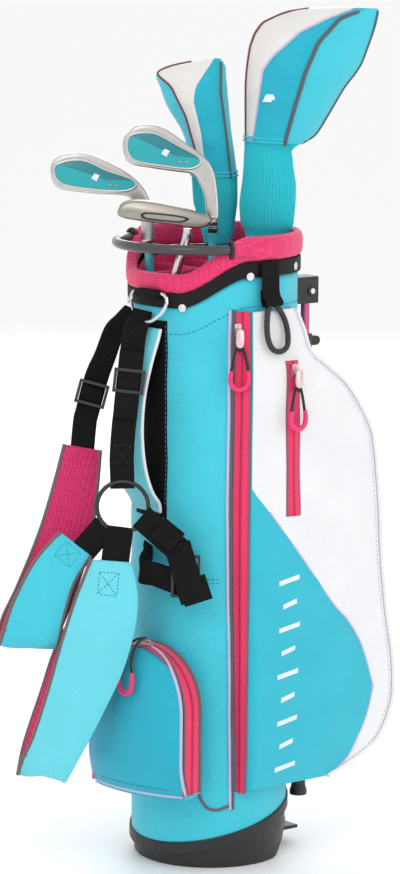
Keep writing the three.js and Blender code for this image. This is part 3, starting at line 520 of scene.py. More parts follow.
def body_cloth():
    """The round tube, cut aslant at the foot and along the dipping mouth; one wall, CLOTH_WALL mm thick."""
    turns = [-180 + 2.5 * k for k in range(144)]

    def ring(t, inset):
        row = []
        for phi in turns:
            x = -TUBE_RADIUS * math.cos(math.radians(phi))
            z = (39.35 + 0.264 * x) * (1 - t) + (624.65 + rim_drop(phi)) * t
            row.append(around(phi, tube_radius(z) - inset + ripple(phi, z), z))
        return row

    levels = [k / 84 for k in range(85)]
    rows = [ring(t, 0.0) for t in levels] + [ring(t, CLOTH_WALL) for t in levels[::-1]]
    verts, faces, _ = loft(rows, closed=True)
    piece("body_cloth", verts, faces, [TEAL], stands_for=["body_tube"])


def on_body(phi, z, height=0.0):
    return around(phi, tube_radius(z) + ripple(phi, z) + height, z)


ZIP_LEFT = [(64, 590), (64, 520), (63.8, 374), (65, 300), (66.5, 226), (69.5, 72), (69.5, 30)]
TAPE_AT = [0, 0.07, 0.14, 0.36, 0.42, 0.5, 0.58, 0.64, 0.86, 0.93, 1]
TAPE_HIGH = [0.3, 1.0, 1.0, 1.0, 1.6, 1.9, 1.6, 1.0, 1.0, 1.0, 0.3]
TAPE_MATS = [2, 2, 0, 0, 1, 1, 0, 0, 2, 2]


def zip_tape(name, count, point, length, wide):
    """A zip's tape: cloth on both sides, its edges, and the raised coil down the middle."""
    strip(name, count, TAPE_AT, TAPE_HIGH, point, [ZIP_TAPE, ZIP_COIL, MAUVE], TAPE_MATS, length, wide)


def body_trim():
    """The long zip, the spine panel, seams and rivets."""
    def main_zip(s, f, h):
        """From the body to the tall pocket's corner, and back onto the body below the pocket."""
        z = 590 - 507 * s
        a = on_body(table(ZIP_LEFT, z), z, 0.5)
        corner = np.array((-27.6, tall_front(-27, z) + 1.6, z))
        b = corner + (on_body(81, z, 0.6) - corner) * (1 - smooth(z, 68, 82))
        n = unit(np.cross(b - a, (0, 0, -1)))
        n = n if n @ CAMERA_SIDE > 0 else -n
        return a + (b - a) * f + n * h

    zip_tape("main_zip_tape", 130, main_zip, 524, 17)
    zs = range(592, 58, -12)
    for name, shift, radius, mat in (("piping", 3.3, 1.7, PIPING), ("binding", 0.9, 1.2, BINDING)):
        pts = [on_body(table(ZIP_LEFT, z) - shift - 0.8 * (1 - smooth(z, 120, 220)), z, 0.9) for z in zs]
        cord_tube(f"main_zip_{name}", pts, radius, mat)

    def spine(s, f, h):
        return on_body(-17 + 34 * f, 578 - 206 * s, h)

    strip("spine_panel", 60, [0, 0.04, 0.25, 0.5, 0.75, 0.96, 1], [0.1, 0.9, 1.2, 1.3, 1.2, 0.9, 0.1], spine,
          [BLACK_CLOTH], length=206, wide=50)
    for tag, phi in (("left", -16), ("right", 16)):
        stitches(f"spine_stitch_{tag}", [on_body(phi, z, 0.9) for z in range(574, 374, -10)],
                 [around(phi, 1, 0)] * 20, DARK_THREAD)
    turns = range(-180, 181, 6)
    stitches("hem_stitch", [on_body(p, 594 + rim_drop(p), 0.1) for p in turns],
             [around(p, 1, 0) for p in turns], DARK_THREAD)
    for k, z in enumerate((306, 310)):
        stitches(f"seam_stitch_{k}", [on_body(p, z, 0.1) for p in range(40, 60, 3)],
                 [around(p, 1, 0) for p in range(40, 60, 3)], DARK_THREAD)
    sweep = [(39, 104), (41, 90), (44, 76), (49, 66), (56, 64), (63, 67), (67, 70)]
    cord_tube("pocket_foot_binding", [on_body(p, z, 0.8) for p, z in sweep], 1.5, BINDING)
    for phi, z in ((29, 597), (-29, 597), (74, 626), (-74, 626), (118, 632), (-118, 632), (180, 633)):
        place = around(phi, 90.6, z + rim_drop(phi) / MOUTH_DROP * 4)
        rivet(f"rivet_{phi % 360}", place, around(phi, 1, 0), 4.3)


RIVET_PROFILE = ((1.0, -0.4), (1.0, 0.5), (0.93, 0.95), (0.78, 1.0), (0.7, 0.7), (0.6, 0.95), (0.35, 1.35),
                 (0.05, 1.5))


def rivet(name, place, out, radius, mat=STEEL, body="bag"):
    """A domed rivet head with a rolled rim."""
    out = unit(out)
    side = unit(np.cross(out, UP))
    up = np.cross(side, out)
    rows = [[place + out * h + radius * r * (math.cos(a) * side + math.sin(a) * up) for a in circle(24)]
            for r, h in RIVET_PROFILE]
    verts, faces, _ = loft(rows)
    return piece(name, verts, faces, [mat], body, slot="bright_metal")


def rolled(name, mid_radius, half_out, half_up, mid_z, mat, stands_for, pucker, power, sag=0.0, slim=0.0):
    """A padded ring that follows the bag's sloping mouth."""
    rows = []
    for k in range(180):
        phi = -180 + 2 * k
        swell = 1 + pucker * math.sin(math.radians(phi) * 30)
        low = -rim_drop(phi) / MOUTH_DROP
        row = []
        for a in circle(24):
            out = squared(math.cos(a), power) * half_out * swell
            up = squared(math.sin(a), power) * (half_up - slim * low) * swell
            row.append(around(phi, mid_radius + out, mid_z + rim_drop(phi) - sag * low + up))
        rows.append(row)
    verts, faces, _ = loft(rows, closed=True)
    piece(name, verts, faces, [mat], stands_for=stands_for)


def hoop_point(degrees):
    a = math.radians(degrees)
    return np.array((HOOP_CENTRE - HOOP_RADIUS * math.cos(a), -HOOP_RADIUS * math.sin(a), HOOP_Z))


BAR_Z, BAR_HALF, BAR_TALL = 605.0, 2.6, 21.6
SHEET_AT = (-79, -43, -7, 28.5)


def divider_bar(name, a, b):
    """A padded bar between two (x, y) points of the mouth's divider."""
    a, b = np.array((*a, BAR_Z)), np.array((*b, BAR_Z))
    side = unit(np.cross(b - a, UP))
    rows = []
    for k in range(41):
        f = k / 40
        puff = BAR_HALF * (1 + 0.12 * math.sin(f * 19)) * (0.7 + 0.3 * smooth(min(f, 1 - f), 0, 0.06))
        row = []
        for t in circle(20):
            out = squared(math.cos(t), 0.7) * puff
            row.append(a + (b - a) * f + side * out + np.array((0, 0, squared(math.sin(t), 0.35) * BAR_TALL)))
        rows.append(row)
    verts, faces, _ = loft(rows)
    piece(name, verts, faces, [PINK_MESH])


def divider_sheet():
    """The cloth wall that hangs below the long bar, a little slack."""
    rows = []
    for k in range(33):
        z = 60 + 522 * k / 32
        xs = np.linspace(SHEET_AT[0], SHEET_AT[-1], 16)
        slack = np.interp(xs, SHEET_AT, [0.5 * math.sin(0.04 * z + x * 0.05) for x in SHEET_AT])
        front = [(x, 1.3 + w, z) for x, w in zip(xs, slack)]
        rows.append(front + [(x, 2.7 + w, z) for x, w in zip(xs[::-1], slack[::-1])])
    verts, faces, _ = loft(rows)
    panel = piece("divider_sheet", verts, faces, [BLACK_CLOTH], stands_for=["divider_panel"])


def mouth():
    """Collar, divider and hoop."""
    rolled("collar_roll", 86.3, 6.1, 12.6, 654.2, PINK_MESH, ["collar_pad"], 0.012, 0.72, 8.0, 3.0)
    rolled("collar_belt", 88.9, 1.6, 8.0, 633, BAND, ["collar_band"], 0.0, 0.35, 4.5, 0.5)
    rolled("divider_ring", 82.45, 2.0, 20, 612, PINK_MESH, ["top_divider"], 0.0, 0.3)
    divider_bar("divider_bar_long", (-79, 2), (30, 2))
    divider_bar("divider_bar_cross", (32.5, -75.5), (32.5, 75.5))
    divider_bar("divider_bar_short", (-18, 3), (-18, 79.5))
    divider_sheet()
    for tag, sign in (("near", 1), ("far", -1)):
        a = math.radians(75)
        side = np.cross(unit((math.sin(a), -sign * math.cos(a), 0)), UP)
        ring = [hoop_point(sign * 75) + side * 6.4 * math.cos(q) + np.array((0, 0, 8.2 * math.sin(q)))
                for q in circle(16)]
        cord_tube(f"hoop_mouth_{tag}", ring, 1.9, PLASTIC, closed=True, step=2)
        path = [hoop_point(sign * d) for d in (75.4, 78, 81, 84)]
        path += [around(sign * 83, 87.6, 649), around(sign * 92, 86.4, 652)]
        cord_tube(f"hoop_sleeve_{tag}", path, lambda f: 8.4 - 3.0 * smooth(f, 0.45, 1), PINK_MESH, sides=20)
    cord_tube("hoop_bar", [hoop_point(d) for d in range(-82, 83, 4)], 5.2, SATIN_HOOP,
              stands_for=["hoop_handle"], sides=20)


# ---------------------------------------------------------------- the tall side pocket
# TALL: (height, reach to the right, swell of the front). EDGE: the (x, z) line between the two cloths.
TALL = [(590, 34, 0), (566, 46, 1), (545, 55, 3), (527, 79, 6), (504, 108, 8), (469, 134, 9),
        (441, 146, 9), (376, 155, 9), (311, 160, 9), (255, 168, 9), (210, 177, 9), (177, 180, 8),
        (150, 177, 7), (119, 160, 5), (102, 131, 3), (86, 88, 0)]
EDGE = [(-34, 414), (-4, 380), (39, 328), (82, 275), (104, 253), (126, 223), (142, 183), (144, 172),
        (135, 140), (114, 105), (93, 89)]


def tall_front(x, z, reach=None, swell=None):
    """The y of the tall pocket's front face."""
    if reach is None:
        reach, swell = (table([(r[k], r[0]) for r in TALL], z) for k in (1, 2))
    across = clamp((x + 36) / (reach + 36))
    slack = 0.9 * math.sin(0.05 * z + 0.03 * x) + 0.7 * math.sin(0.021 * x * 3 - 0.07 * z)
    return -(94 + (swell + slack * min(1, swell / 5)) * math.sin(math.pi * across))


def tall_pocket():
    """The big side pocket: white and teal front, deep teal sides, its piping, zip and marks."""
    line = spline([(r, z, s) for z, r, s in TALL], 7)
    rows = []
    for reach, z, swell in line:
        tube = tube_radius(z)
        left, right = -27.0, reach - 6
        cut = clamp(table(EDGE, z) if z < 414 else -60, left + 0.6, right - 0.6)
        if z < 89:
            cut = right - 0.6
        front = list(np.linspace(left, cut, 12)) + list(np.linspace(cut, right, 14))[1:]
        back = -85 + 15 * smooth(reach, 40, 120)
        low = tall_front(right, z, reach, swell)
        row = [around(73, tube - 1.2, z)] + [np.array((x, tall_front(x, z, reach, swell), z)) for x in front]
        for a in (30, 65, 90, 115, 150):
            t = math.radians(a)
            y = (low + back) / 2 + (low - back) / 2 * math.cos(t)
            row.append(np.array((right + 6 * math.sin(t), y, z)))
        end = min(reach - 9, 64)
        foot = -math.sqrt(max(tube**2 - end**2, 0)) + 1.2
        for f in (0, 0.2, 0.4, 0.6, 0.8):
            row.append(np.array((right + (end - right) * f, back, z)))
        row.append(np.array((end, min(foot, max(back + 6, foot)), z)))
        if end > 40:
            turn = math.degrees(math.atan2(57, -end))
        else:
            turn = 180 - math.degrees(math.acos(clamp(end / tube)))
        row += [around(p, tube - 1.2, z) for p in np.linspace(turn, 73, 8)[1:-1]]
        rows.append(row)
    verts, faces, cells = loft(rows)
    index = [0 if j < 12 else 1 if j < 28 else 2 for i, j in cells]
    piece("tall_pocket_cloth", verts, faces, [TEAL_MID, WHITE, TEAL_DEEP], stands_for=["tall_pocket"],
          index=index)
    edge = [(r - 2.5, tall_front(r - 6, z, r, s) - 0.6, z) for r, z, s in line]
    cord_tube("tall_pocket_piping", edge, 2.0, WHITE_PIPING)
    rear = [(r - 3.5, -85 + 15 * smooth(r, 40, 120) + 0.4, z) for r, z, s in line]
    cord_tube("tall_pocket_rear_piping", rear, 1.8, BINDING)
    split = [(x, tall_front(x, z) - 0.3, z) for x, z in EDGE if x > -28]
    cord_tube("tall_pocket_split_piping", split, 1.0, PIPING)
    inset = [(r - 9, tall_front(r - 9, z, r, s), z) for r, z, s in line if r > 60]
    stitches("tall_pocket_stitch", inset, [(0, -1, 0)] * len(inset), PIPING, radius=0.34)

    def money_zip(s, f, h):
        z = 537 - 163 * s
        x = 13 + 3 * s + 18 * f
        return np.array((x, tall_front(x, z) - h, z))

    zip_tape("valuables_zip_tape", 44, money_zip, 150, 18)
    verts, faces = [], []
    for k in range(9):
        z, half = 306 - 25 * k, 8.5 if k % 2 else 13
        corners = [(22 - half, z - 5), (22 - half, z), (22 + half, z + 5), (22 + half, z)]
        base = len(verts)
        for lift in (0.6, -0.4):
            verts += [(x, tall_front(x, w) - lift, w) for x, w in corners]
        faces += [(base, base + 1, base + 2, base + 3), (base + 7, base + 6, base + 5, base + 4)]
        faces += [(base + q, base + 4 + q, base + 4 + (q + 1) % 4, base + (q + 1) % 4) for q in range(4)]
    piece("tall_pocket_mark", verts, faces, [MARK], flat=True)


# ---------------------------------------------------------------- the ball pocket
def on_ball(out, across, z):
    """A point of the ball pocket: out from the bag's axis, across the pocket, and up."""
    a = BALL_TURN
    return np.array((-out * math.cos(a) + across * math.sin(a), -out * math.sin(a) - across * math.cos(a), z))


def ball_half(z):
    return BALL_HALF * math.sqrt(max(0.0, 1 - clamp((z - ARCH_Z) / ARCH_RISE) ** 2))


def ball_out(z, part):
    """How far out the front face lies; part runs from -1 to 1 across it."""
    rise = clamp((z - ARCH_Z) / ARCH_RISE)
    slack = 1.0 * math.sin(0.09 * z + 2 * part) * (1 - part * part)
    return 121 + 12 * smooth(z, 64, 124) - 14 * rise**3 - 9 * part**2 - 3 * part**6 + slack


def ball_pocket():
    """The arched ball pocket with its zip round the arch."""
    levels = [84 + 92 * k / 22 for k in range(22)]
    levels += [ARCH_Z + 62.5 * math.sin(math.pi / 2 * k / 22) for k in range(23)]
    parts = [math.sin(math.pi / 2 * k / 11) for k in range(-11, 12)]
    rows = []
    for z in levels:
        half, tube = max(ball_half(z), 4), tube_radius(z)
        root = math.degrees(math.asin(half * 0.76 / tube))
        row = []
        for sign, order in ((-1, (0, 0.25, 0.5, 0.75)), (1, (0.75, 0.5, 0.25, 0))):
            side = []
            for f in order:
                base = around(10 + sign * root, tube - 1.2, z)
                rim = on_ball(ball_out(z, sign), sign * half, z)
                bow = on_ball(0, sign * 2.5 * math.sin(math.pi * f), 0)
                side.append(base + (rim - base) * f + bow)
            if sign < 0:
                row += side + [on_ball(ball_out(z, p), p * half, z) for p in parts]
            else:
                row += side
        row += [around(10 + p, tube - 1.2, z) for p in np.linspace(root, -root, 7)[1:-1]]
        rows.append(row)
    verts, faces, cells = loft(rows)
    index = [1 if 4 <= j < 26 else 0 for i, j in cells]
    piece("ball_pocket_cloth", verts, faces, [TEAL, TEAL_DEEP], stands_for=["ball_pocket"], index=index)
    arc = [(math.sin(t), math.cos(t)) for t in np.radians(np.arange(-90, 91, 5))]
    rim = [(s * BALL_HALF, ARCH_Z + c * ZIP_RISE) for s, c in arc]
    rim = [(-BALL_HALF, z) for z in range(88, 176, 8)] + rim + [(BALL_HALF, z) for z in range(170, 86, -8)]
    for name, out, off, radius, mat in (
        ("ball_pocket_piping", 0.5, 0.6, 1.7, PIPING), ("ball_pocket_binding", -4.2, 0.9, 1.4, BINDING),
    ):
        pts = [on_ball(ball_out(z, 1) + out - 1, x * (1 + off / BALL_HALF), z + (off if z > ARCH_Z else 0))
               for x, z in rim]
        cord_tube(name, pts, radius, mat)
    rear = [on_ball(90.2, x * 1.014, z + (0.9 if z > ARCH_Z else 0)) for x, z in rim]
    cord_tube("ball_pocket_rear_binding", rear, 1.8, BINDING)
    xs = np.array([p[0] for p in rim])
    zs = np.array([p[1] for p in rim])
    grow = np.array([(x / BALL_HALF, max(z - ARCH_Z, 0) / ZIP_RISE) for x, z in rim])

    def gusset_zip(s, f, h):
        k = s * (len(xs) - 1)
        x, z, gx, gz = (np.interp(k, range(len(xs)), v) for v in (xs, zs, grow[:, 0], grow[:, 1]))
        return on_ball(91 + 26 * f, x + gx * (h + 0.4), z + gz * (h + 0.4))

    zip_tape("ball_zip_tape", 110, gusset_zip, 390, 26)
    foot = [on_ball(ball_out(95, p) + 0.3, p * 61, 95) for p in (-0.98, -0.7, -0.35, 0, 0.35, 0.7, 0.98)]
    stitches("ball_pocket_foot_stitch", foot, [on_ball(1, 0, 0)] * 7, DARK_THREAD)
    foot = [on_ball(ball_out(88, p) + 0.2, p * 61, 88) for p in (-0.99, -0.7, -0.35, 0, 0.35, 0.7, 0.99)]
    cord_tube("ball_pocket_foot_piping", foot, 1.3, PIPING)


body_cloth()
body_trim()
mouth()
tall_pocket()
ball_pocket()


# ---------------------------------------------------------------- straps and webbing
def on_ribbon(frames, s, x, high):
    """A point (and its outward direction) on a ribbon: s along it from 0 to 1, x across in mm."""
    p, t, a, out, wide = frames[round(s * (len(frames) - 1))]
    return p + a * x + out * high, out


def edge_cord(name, frames, side, radius, mat, inset=0.0, slot=None):
    """A cord along one edge of a ribbon: side is -1 or 1."""
    pts = [p + a * side * (w / 2 - inset) for p, t, a, out, w in frames]
    cord_tube(name, pts, radius, mat, raw=True, slot=slot)


def cross_box(name, frames, s0, s1, half, high, mat, slot="white_fabric", on=None):
    """The sewn box with a cross in it that fastens webbing; on is the mesh that its stitches lie on."""
    corners = ((s0, -half), (s0, half), (s1, half), (s1, -half))
    a, b, c, d = (on_ribbon(frames, s, x, high) for s, x in corners)
    for k, (p, q) in enumerate(((a, b), (b, c), (c, d), (d, a), (a, c), (b, d))):
        mids = [p[0] + (q[0] - p[0]) * f for f in (0, 0.34, 0.67, 1)]
        if on:
            mids = [np.array(on.closest_point_on_mesh(Vector(m) * MM)[1]) / MM for m in mids]
        stitches(f"{name}_{k}", mids, [p[1]] * 4, mat, dash=2.6, gap=1.2, radius=0.4, slot=slot)


def webbing(name, path, width, thick=2.2, across=STRAP_ACROSS, stands_for=(), body="bag", step=3, lift=0.0):
    """A length of black webbing; returns its frames."""
    return ribbon(name, path, width, thick, across, [WEBBING], body, stands_for, step=step, lift=lift)[1]


def webbing_tab(name, a, b, width, thick=3.4, stand=0.0):
    """Webbing straight from a to b, facing the camera side and standing off it by stand mm midway."""
    a, b = np.array(a, float), np.array(b, float)
    path = [a + (b - a) * f + CAMERA_SIDE * stand * math.sin(math.pi * f) for f in (0, 0.3, 0.65, 1)]
    webbing(name, path, width, thick, unit(np.cross(b - a, CAMERA_SIDE)))


def glide_web(name, place, along, width, offset, body):
    """The stretch of webbing that climbs over a tri-glide's middle bar."""
    along, place = unit(along), np.array(place, float) + CAMERA_SIDE * offset
    path = [place + along * k + CAMERA_SIDE * h
            for k, h in ((-11, -3.4), (-6, 0.6), (0, 2.6), (6, 0.6), (11, -3.4))]
    webbing(name, path, width, 1.6, unit(np.cross(along, CAMERA_SIDE)), body=body, step=2)


def straps():
    """The webbing of both straps, its tabs at the O-ring and buckle, the carry handle and the towel loop."""
    front = [(-96.5, -1, 588), (-101, -2.5, 580), (-108.5, -4.7, 571), (-113, -6.6, 560),
             (-117.1, -8.4, 540), (-127.9, -12.9, 488), (-132, -14.6, 468), (-136, -17, 440),
             (-136, -18.5, 414)]
    fr = webbing("strap_front_webbing", front, [20, 23] + [25] * 7, stands_for=["strap_front"])
    cross_box("strap_front_box", fr, 0.78, 0.9, 8, 1.1, PLASTIC, slot="black_webbing")
    keeper = [(-117, -9, 548), (-127, -13.5, 500), (-130.5, -15, 480)]
    webbing("strap_front_keeper", keeper, 25, 2.0, step=4.0, lift=2.6)
    rear = [(-98.5, 14, 588), (-100, 24, 578), (-102, 38, 564), (-104, 51, 536), (-110, 58.2, 512),
            (-122.4, 57.4, 478), (-126, 57, 467), (-131.5, 54, 440)]
    webbing("strap_rear_webbing", rear, [18, 20, 22, 23, 25, 25, 25, 25], stands_for=["strap_rear"])
    low = [(-112, -46, 370), (-104, -54, 361), (-97, -61, 353)]
    webbing("strap_lower_webbing", low, 26, 2.4, (0.5, 0.2, 0.85), ["strap_lower"])
    webbing_tab("o_ring_tab_rear", (-149, -7, 369), (-165, 10, 341), 27, 4.2)
    webbing_tab("o_ring_tab_front", (-138.5, -17.5, 368), (-143, -15.5, 329), 29, 4.2)
    webbing_tab("o_ring_tab_lower", (-122, -32, 379), (-92, -61, 343), 27, 4.2, 1.5)
    webbing_tab("o_ring_tab_top", (-136, -18.6, 408), (-136, -17.5, 432), 25, 4.6)
    webbing_tab("buckle_web_down", (-97, -60, 352), (-84, -73, 292), 28, 2.6, 3.0)
    webbing_tab("buckle_tongue", (-86, -70, 316), (-80.5, -76.5, 291), 30, 2.4, 1.0)
    back = [(-86, -69, 306), (-97, -56, 312), (-108, -38, 318), (-114, -22, 320), (-96, -10, 330),
            (-88, -6, 342)]
    webbing("buckle_web_return", back, 25, across=(0.1, 0.1, 1))
    glide_web("glide_front_web", (-121.9, -10.4, 517), (-19, -8, -92), 22, 5.2, "strap_glide_front")
    glide_web("glide_rear_web", (-116.2, 57.8, 495), (-12.4, -0.8, -34), 22, 3.6, "strap_glide_rear")
    roll = [(-97.2, 10, 605), (-96.6, 2, 606), (-96, -7, 606), (-94, -16, 606), (-92, -24, 606)]
    cord_tube("d_ring_roll", roll, lambda f: 5.4 * (1 - abs(2 * f - 1) ** 6 * 0.35), WEBBING, sides=16)
    grip = [(-89.9, 0, 570), (-92.5, 0, 560), (-101, 0, 534), (-109, 0, 502), (-112, 0, 466),
            (-109, 0, 430), (-101, 0, 403), (-90.5, 0, 388), (-88.2, 0, 378)]
    _, fr = ribbon("carry_handle_pad", grip, [44, 44, 42, 41, 41, 43, 46, 46, 44], 6.5, (0, 1, 0),
                   [TEAL_LIGHT, BLACK_CLOTH], stands_for=["carry_handle"], kind="pad", under_side=True)
    for tag, side in (("left", -1), ("right", 1)):
        edge_cord(f"carry_handle_piping_{tag}", fr, side, 1.7, WHITE_PIPING)
    cross_box("carry_handle_box", fr, 0.82, 0.94, 13, 2.4, THREAD)
    loop = [(-3, -91.6, 641), (-3, -93.4, 626), (-3, -94.6, 608), (-3, -101, 599), (-3, -100.8, 597),
            (-3, -96, 594.6), (-3, -92.6, 600), (-3, -91.8, 612)]
    webbing("towel_loop_webbing", loop, 24, 1.8, (1, 0, 0), ["towel_loop"], step=2)


# ---------------------------------------------------------------- shoulder pads
REAR_PAD = [(-131.5, 54, 441), (-143, 52, 395), (-158, 52, 343), (-180, 58, 286), (-195, 60, 257),
            (-204, 54, 242), (-207, 43, 250), (-203, 35, 280), (-190, 26, 319), (-171, 14, 349)]
FRONT_PAD = [(-148, -14, 333), (-153, -15, 292), (-165, -8, 238), (-179, 5, 184), (-191, 20, 137),
             (-197, 31, 113), (-194, 41, 108), (-185, 41, 132), (-168, 36, 178), (-151, 29, 230),
             (-134, 21, 275)]


PAD_THICK, PAD_SWELL = 9.5, 2.4
PRESSURE, CLOTH_FRAMES = 4, 20


def inflate(obj, cap):
    """Fills a sewn pad with Blender's cloth under pressure.

    Its bound edges are held, and no point moves more than cap mm."""
    start = [v.co.copy() for v in obj.data.vertices]
    held = obj.vertex_groups.new(name="held")
    for v in obj.data.vertices:
        if obj.data.attributes["edge"].data[v.index].value > 0.5:
            held.add([v.index], 1.0, "REPLACE")
    cloth = obj.modifiers.new("cloth", "CLOTH")
    cloth.settings.use_pressure = True
    cloth.settings.uniform_pressure_force = PRESSURE
    cloth.settings.vertex_group_mass = "held"
    cloth.settings.effector_weights.gravity = 0
    for number in range(1, CLOTH_FRAMES + 1):
        scene.frame_set(number)
    shape = obj.evaluated_get(bpy.context.evaluated_depsgraph_get())
    moved = [v.co.copy() for v in shape.data.vertices]
    obj.modifiers.remove(cloth)
    obj.vertex_groups.remove(held)
    scene.frame_set(1)
    for v, a, b in zip(obj.data.vertices, start, moved):
        step = b - a
        v.co = a + step * min(1.0, cap * MM / max(step.length, 1e-9))


def shoulder_pad(name, path, widths, across, over, under, stands_for, box, bound):
    """A filled pad with bound edges: box is its sewn box (from, to, side), bound the sides bound in brown."""
    obj, fr = ribbon(name, path, widths, PAD_THICK, across, [over, under], stands_for=[stands_for],
                     kind="pad", under_side=True, waves=0.7, step=2.6)
    n = SECTION_STEPS
    ring = 2 * n
    sewn = (0, 1, 2, n - 2, n - 1, n, n + 1, ring - 1)
    held = [float(v % ring in sewn or v >= len(fr) * ring) for v in range(len(obj.data.vertices))]
    obj.data.attributes.new("edge", "FLOAT", "POINT").data.foreach_set("value", held)
    inflate(obj, PAD_SWELL)
    for tag, side in (("left", -1), ("right", 1)):
        mat = BINDING if side in bound else TEAL_LIGHT
        edge_cord(f"{name}_binding_{tag}", fr, side, 2.4, mat, inset=0.4, slot="teal_fabric")
    start, end, sign = box
    cross_box(f"{name}_box_0", fr, start, end, 10, 5.0 * sign, DARK_THREAD, on=obj)


def pads():
    shoulder_pad("rear_pad", REAR_PAD, [38, 46, 54, 58, 60, 60, 58, 54, 46, 40], STRAP_ACROSS, PAD_MESH, TEAL,
                 "shoulder_pad_rear", (0.93, 0.985, -1), (-1, 1))
    shoulder_pad("front_pad", FRONT_PAD, [40, 62, 68, 60, 52, 50, 50, 54, 58, 60, 44],
                 (STRAP_ACROSS, (0.3, -0.95, 0)), TEAL_LIGHT, PAD_MESH, "shoulder_pad_front",
                 (0.035, 0.085, 1), (-1,))


# ---------------------------------------------------------------- zip pulls
def grip_radius(f):
    return 2.1 + 0.6 * math.sin(math.pi * clamp(f))


def zip_grips():
    """The moulded loops on the cords, and the metal tabs above the two long ones."""
    for name, at, out in (
        ("main", around(66, tube_radius(572) + 9.4, 572), around(66, 1, 0)),
        ("valuables", np.array((22, -111.0, 528)), np.array((0, -1.0, 0))),
    ):
        out = unit(out)
        side = np.cross(out, UP)
        body = f"{name}_zip_pull"
        pts = [at + side * y + np.array((0, 0, x)) + out * 0.7 for x, y in
               ((-42, 8.3), (-50, 9.8), (-58, 7.6), (-61.6, 0), (-58, -7.6), (-50, -9.8), (-42, -8.3))]
        tab = [(-2.6, 0.5), (-4, -3), (-4.2, -13), (-2.4, -18), (2.4, -18), (4.2, -13), (4, -3), (2.6, 0.5)]

        def put(x, y, z, at=at, side=side, out=out):
            return at + side * x + out * y + np.array((0, 0, z))

        plate_shape(f"{name}_zip_tab", tab, [(-0.2, 0.5), (0.2, 0), (2.0, 0), (2.5, 0.6)], put, ROSE_STEEL,
                    body, step=1.2)
        rivet(f"{name}_zip_tab_knot", at + np.array((0, 0, -20.5)) + out * 0.4, out, 2.6, CORD, body)
        cord_tube(f"{name}_zip_grip", pts, grip_radius, PINK_GRIP, body, step=1.6, sides=14)
    across = 65.4 * math.sin(math.radians(4)) - 1.5
    pts = [on_ball(o, across + y, z) for o, y, z in
           ((139.8, 8.4, 217), (140.4, 9.3, 208), (140.2, 7, 198), (140, 0, 194), (140.2, -7, 198),
            (140.4, -9.3, 208), (139.8, -8.4, 217))]
    cord_tube("ball_zip_grip", pts, grip_radius, PINK_GRIP, "ball_zip_pull", step=1.6, sides=14)


# ---------------------------------------------------------------- clubs
def club_frame(butt, collar, butt_z=5.5):
    """A club's own axes: z runs from its butt, at (x, y), to where it passes the collar's height."""
    low = Vector((*butt, butt_z))
    axis = (Vector((*collar, 624)) - low).normalized()
    spin = Vector((0, 0, 1)).rotation_difference(axis) @ Matrix.Rotation(AZIMUTH, 3, "Z").to_quaternion()

    def put(x, y, z):
        return np.array(low + spin @ Vector((x, y, z)))

    return put


def plate_shape(name, outline, levels, put, mat, body, stands_for=(), step=2.5, round_off=True):
    """A plate cut to an outline, with rounded edges: levels are (y, inset) pairs from back to front."""
    line = np.array(outline, float)
    if round_off:
        line = spline([(x, z, 0) for x, z in outline], step, True)[:, :2]
    d = np.roll(line, -1, 0) - np.roll(line, 1, 0)
    d /= np.maximum(np.linalg.norm(d, axis=1), 1e-9)[:, None]
    inward = np.stack((-d[:, 1], d[:, 0]), 1)
    area = float(np.sum(line[:, 0] * np.roll(line[:, 1], -1) - np.roll(line[:, 0], -1) * line[:, 1]))
    inward *= 1 if area > 0 else -1
    verts, faces, n = [], [], len(line)
    for y, inset in levels:
        verts += [put(p[0], y, p[1]) for p in line + inward * inset]
    for k in range(len(levels) - 1):
        for j in range(n):
            a, b = k * n + j, k * n + (j + 1) % n
            faces.append((a, b, b + n, a + n))
    faces += [tuple(range(n)), tuple(range(len(verts) - 1, len(verts) - n - 1, -1))]
    made = piece(name, verts, faces, [mat], body, stands_for)
    made.data.set_sharp_from_angle(angle=math.radians(50))


IRON_EDGE = [(5, 2.4), (4.6, 0.9), (3.4, 0.15), (0, 0), (-3.2, 0.15), (-4.6, 0.9), (-5.2, 2.2), (-5.2, 5.2)]


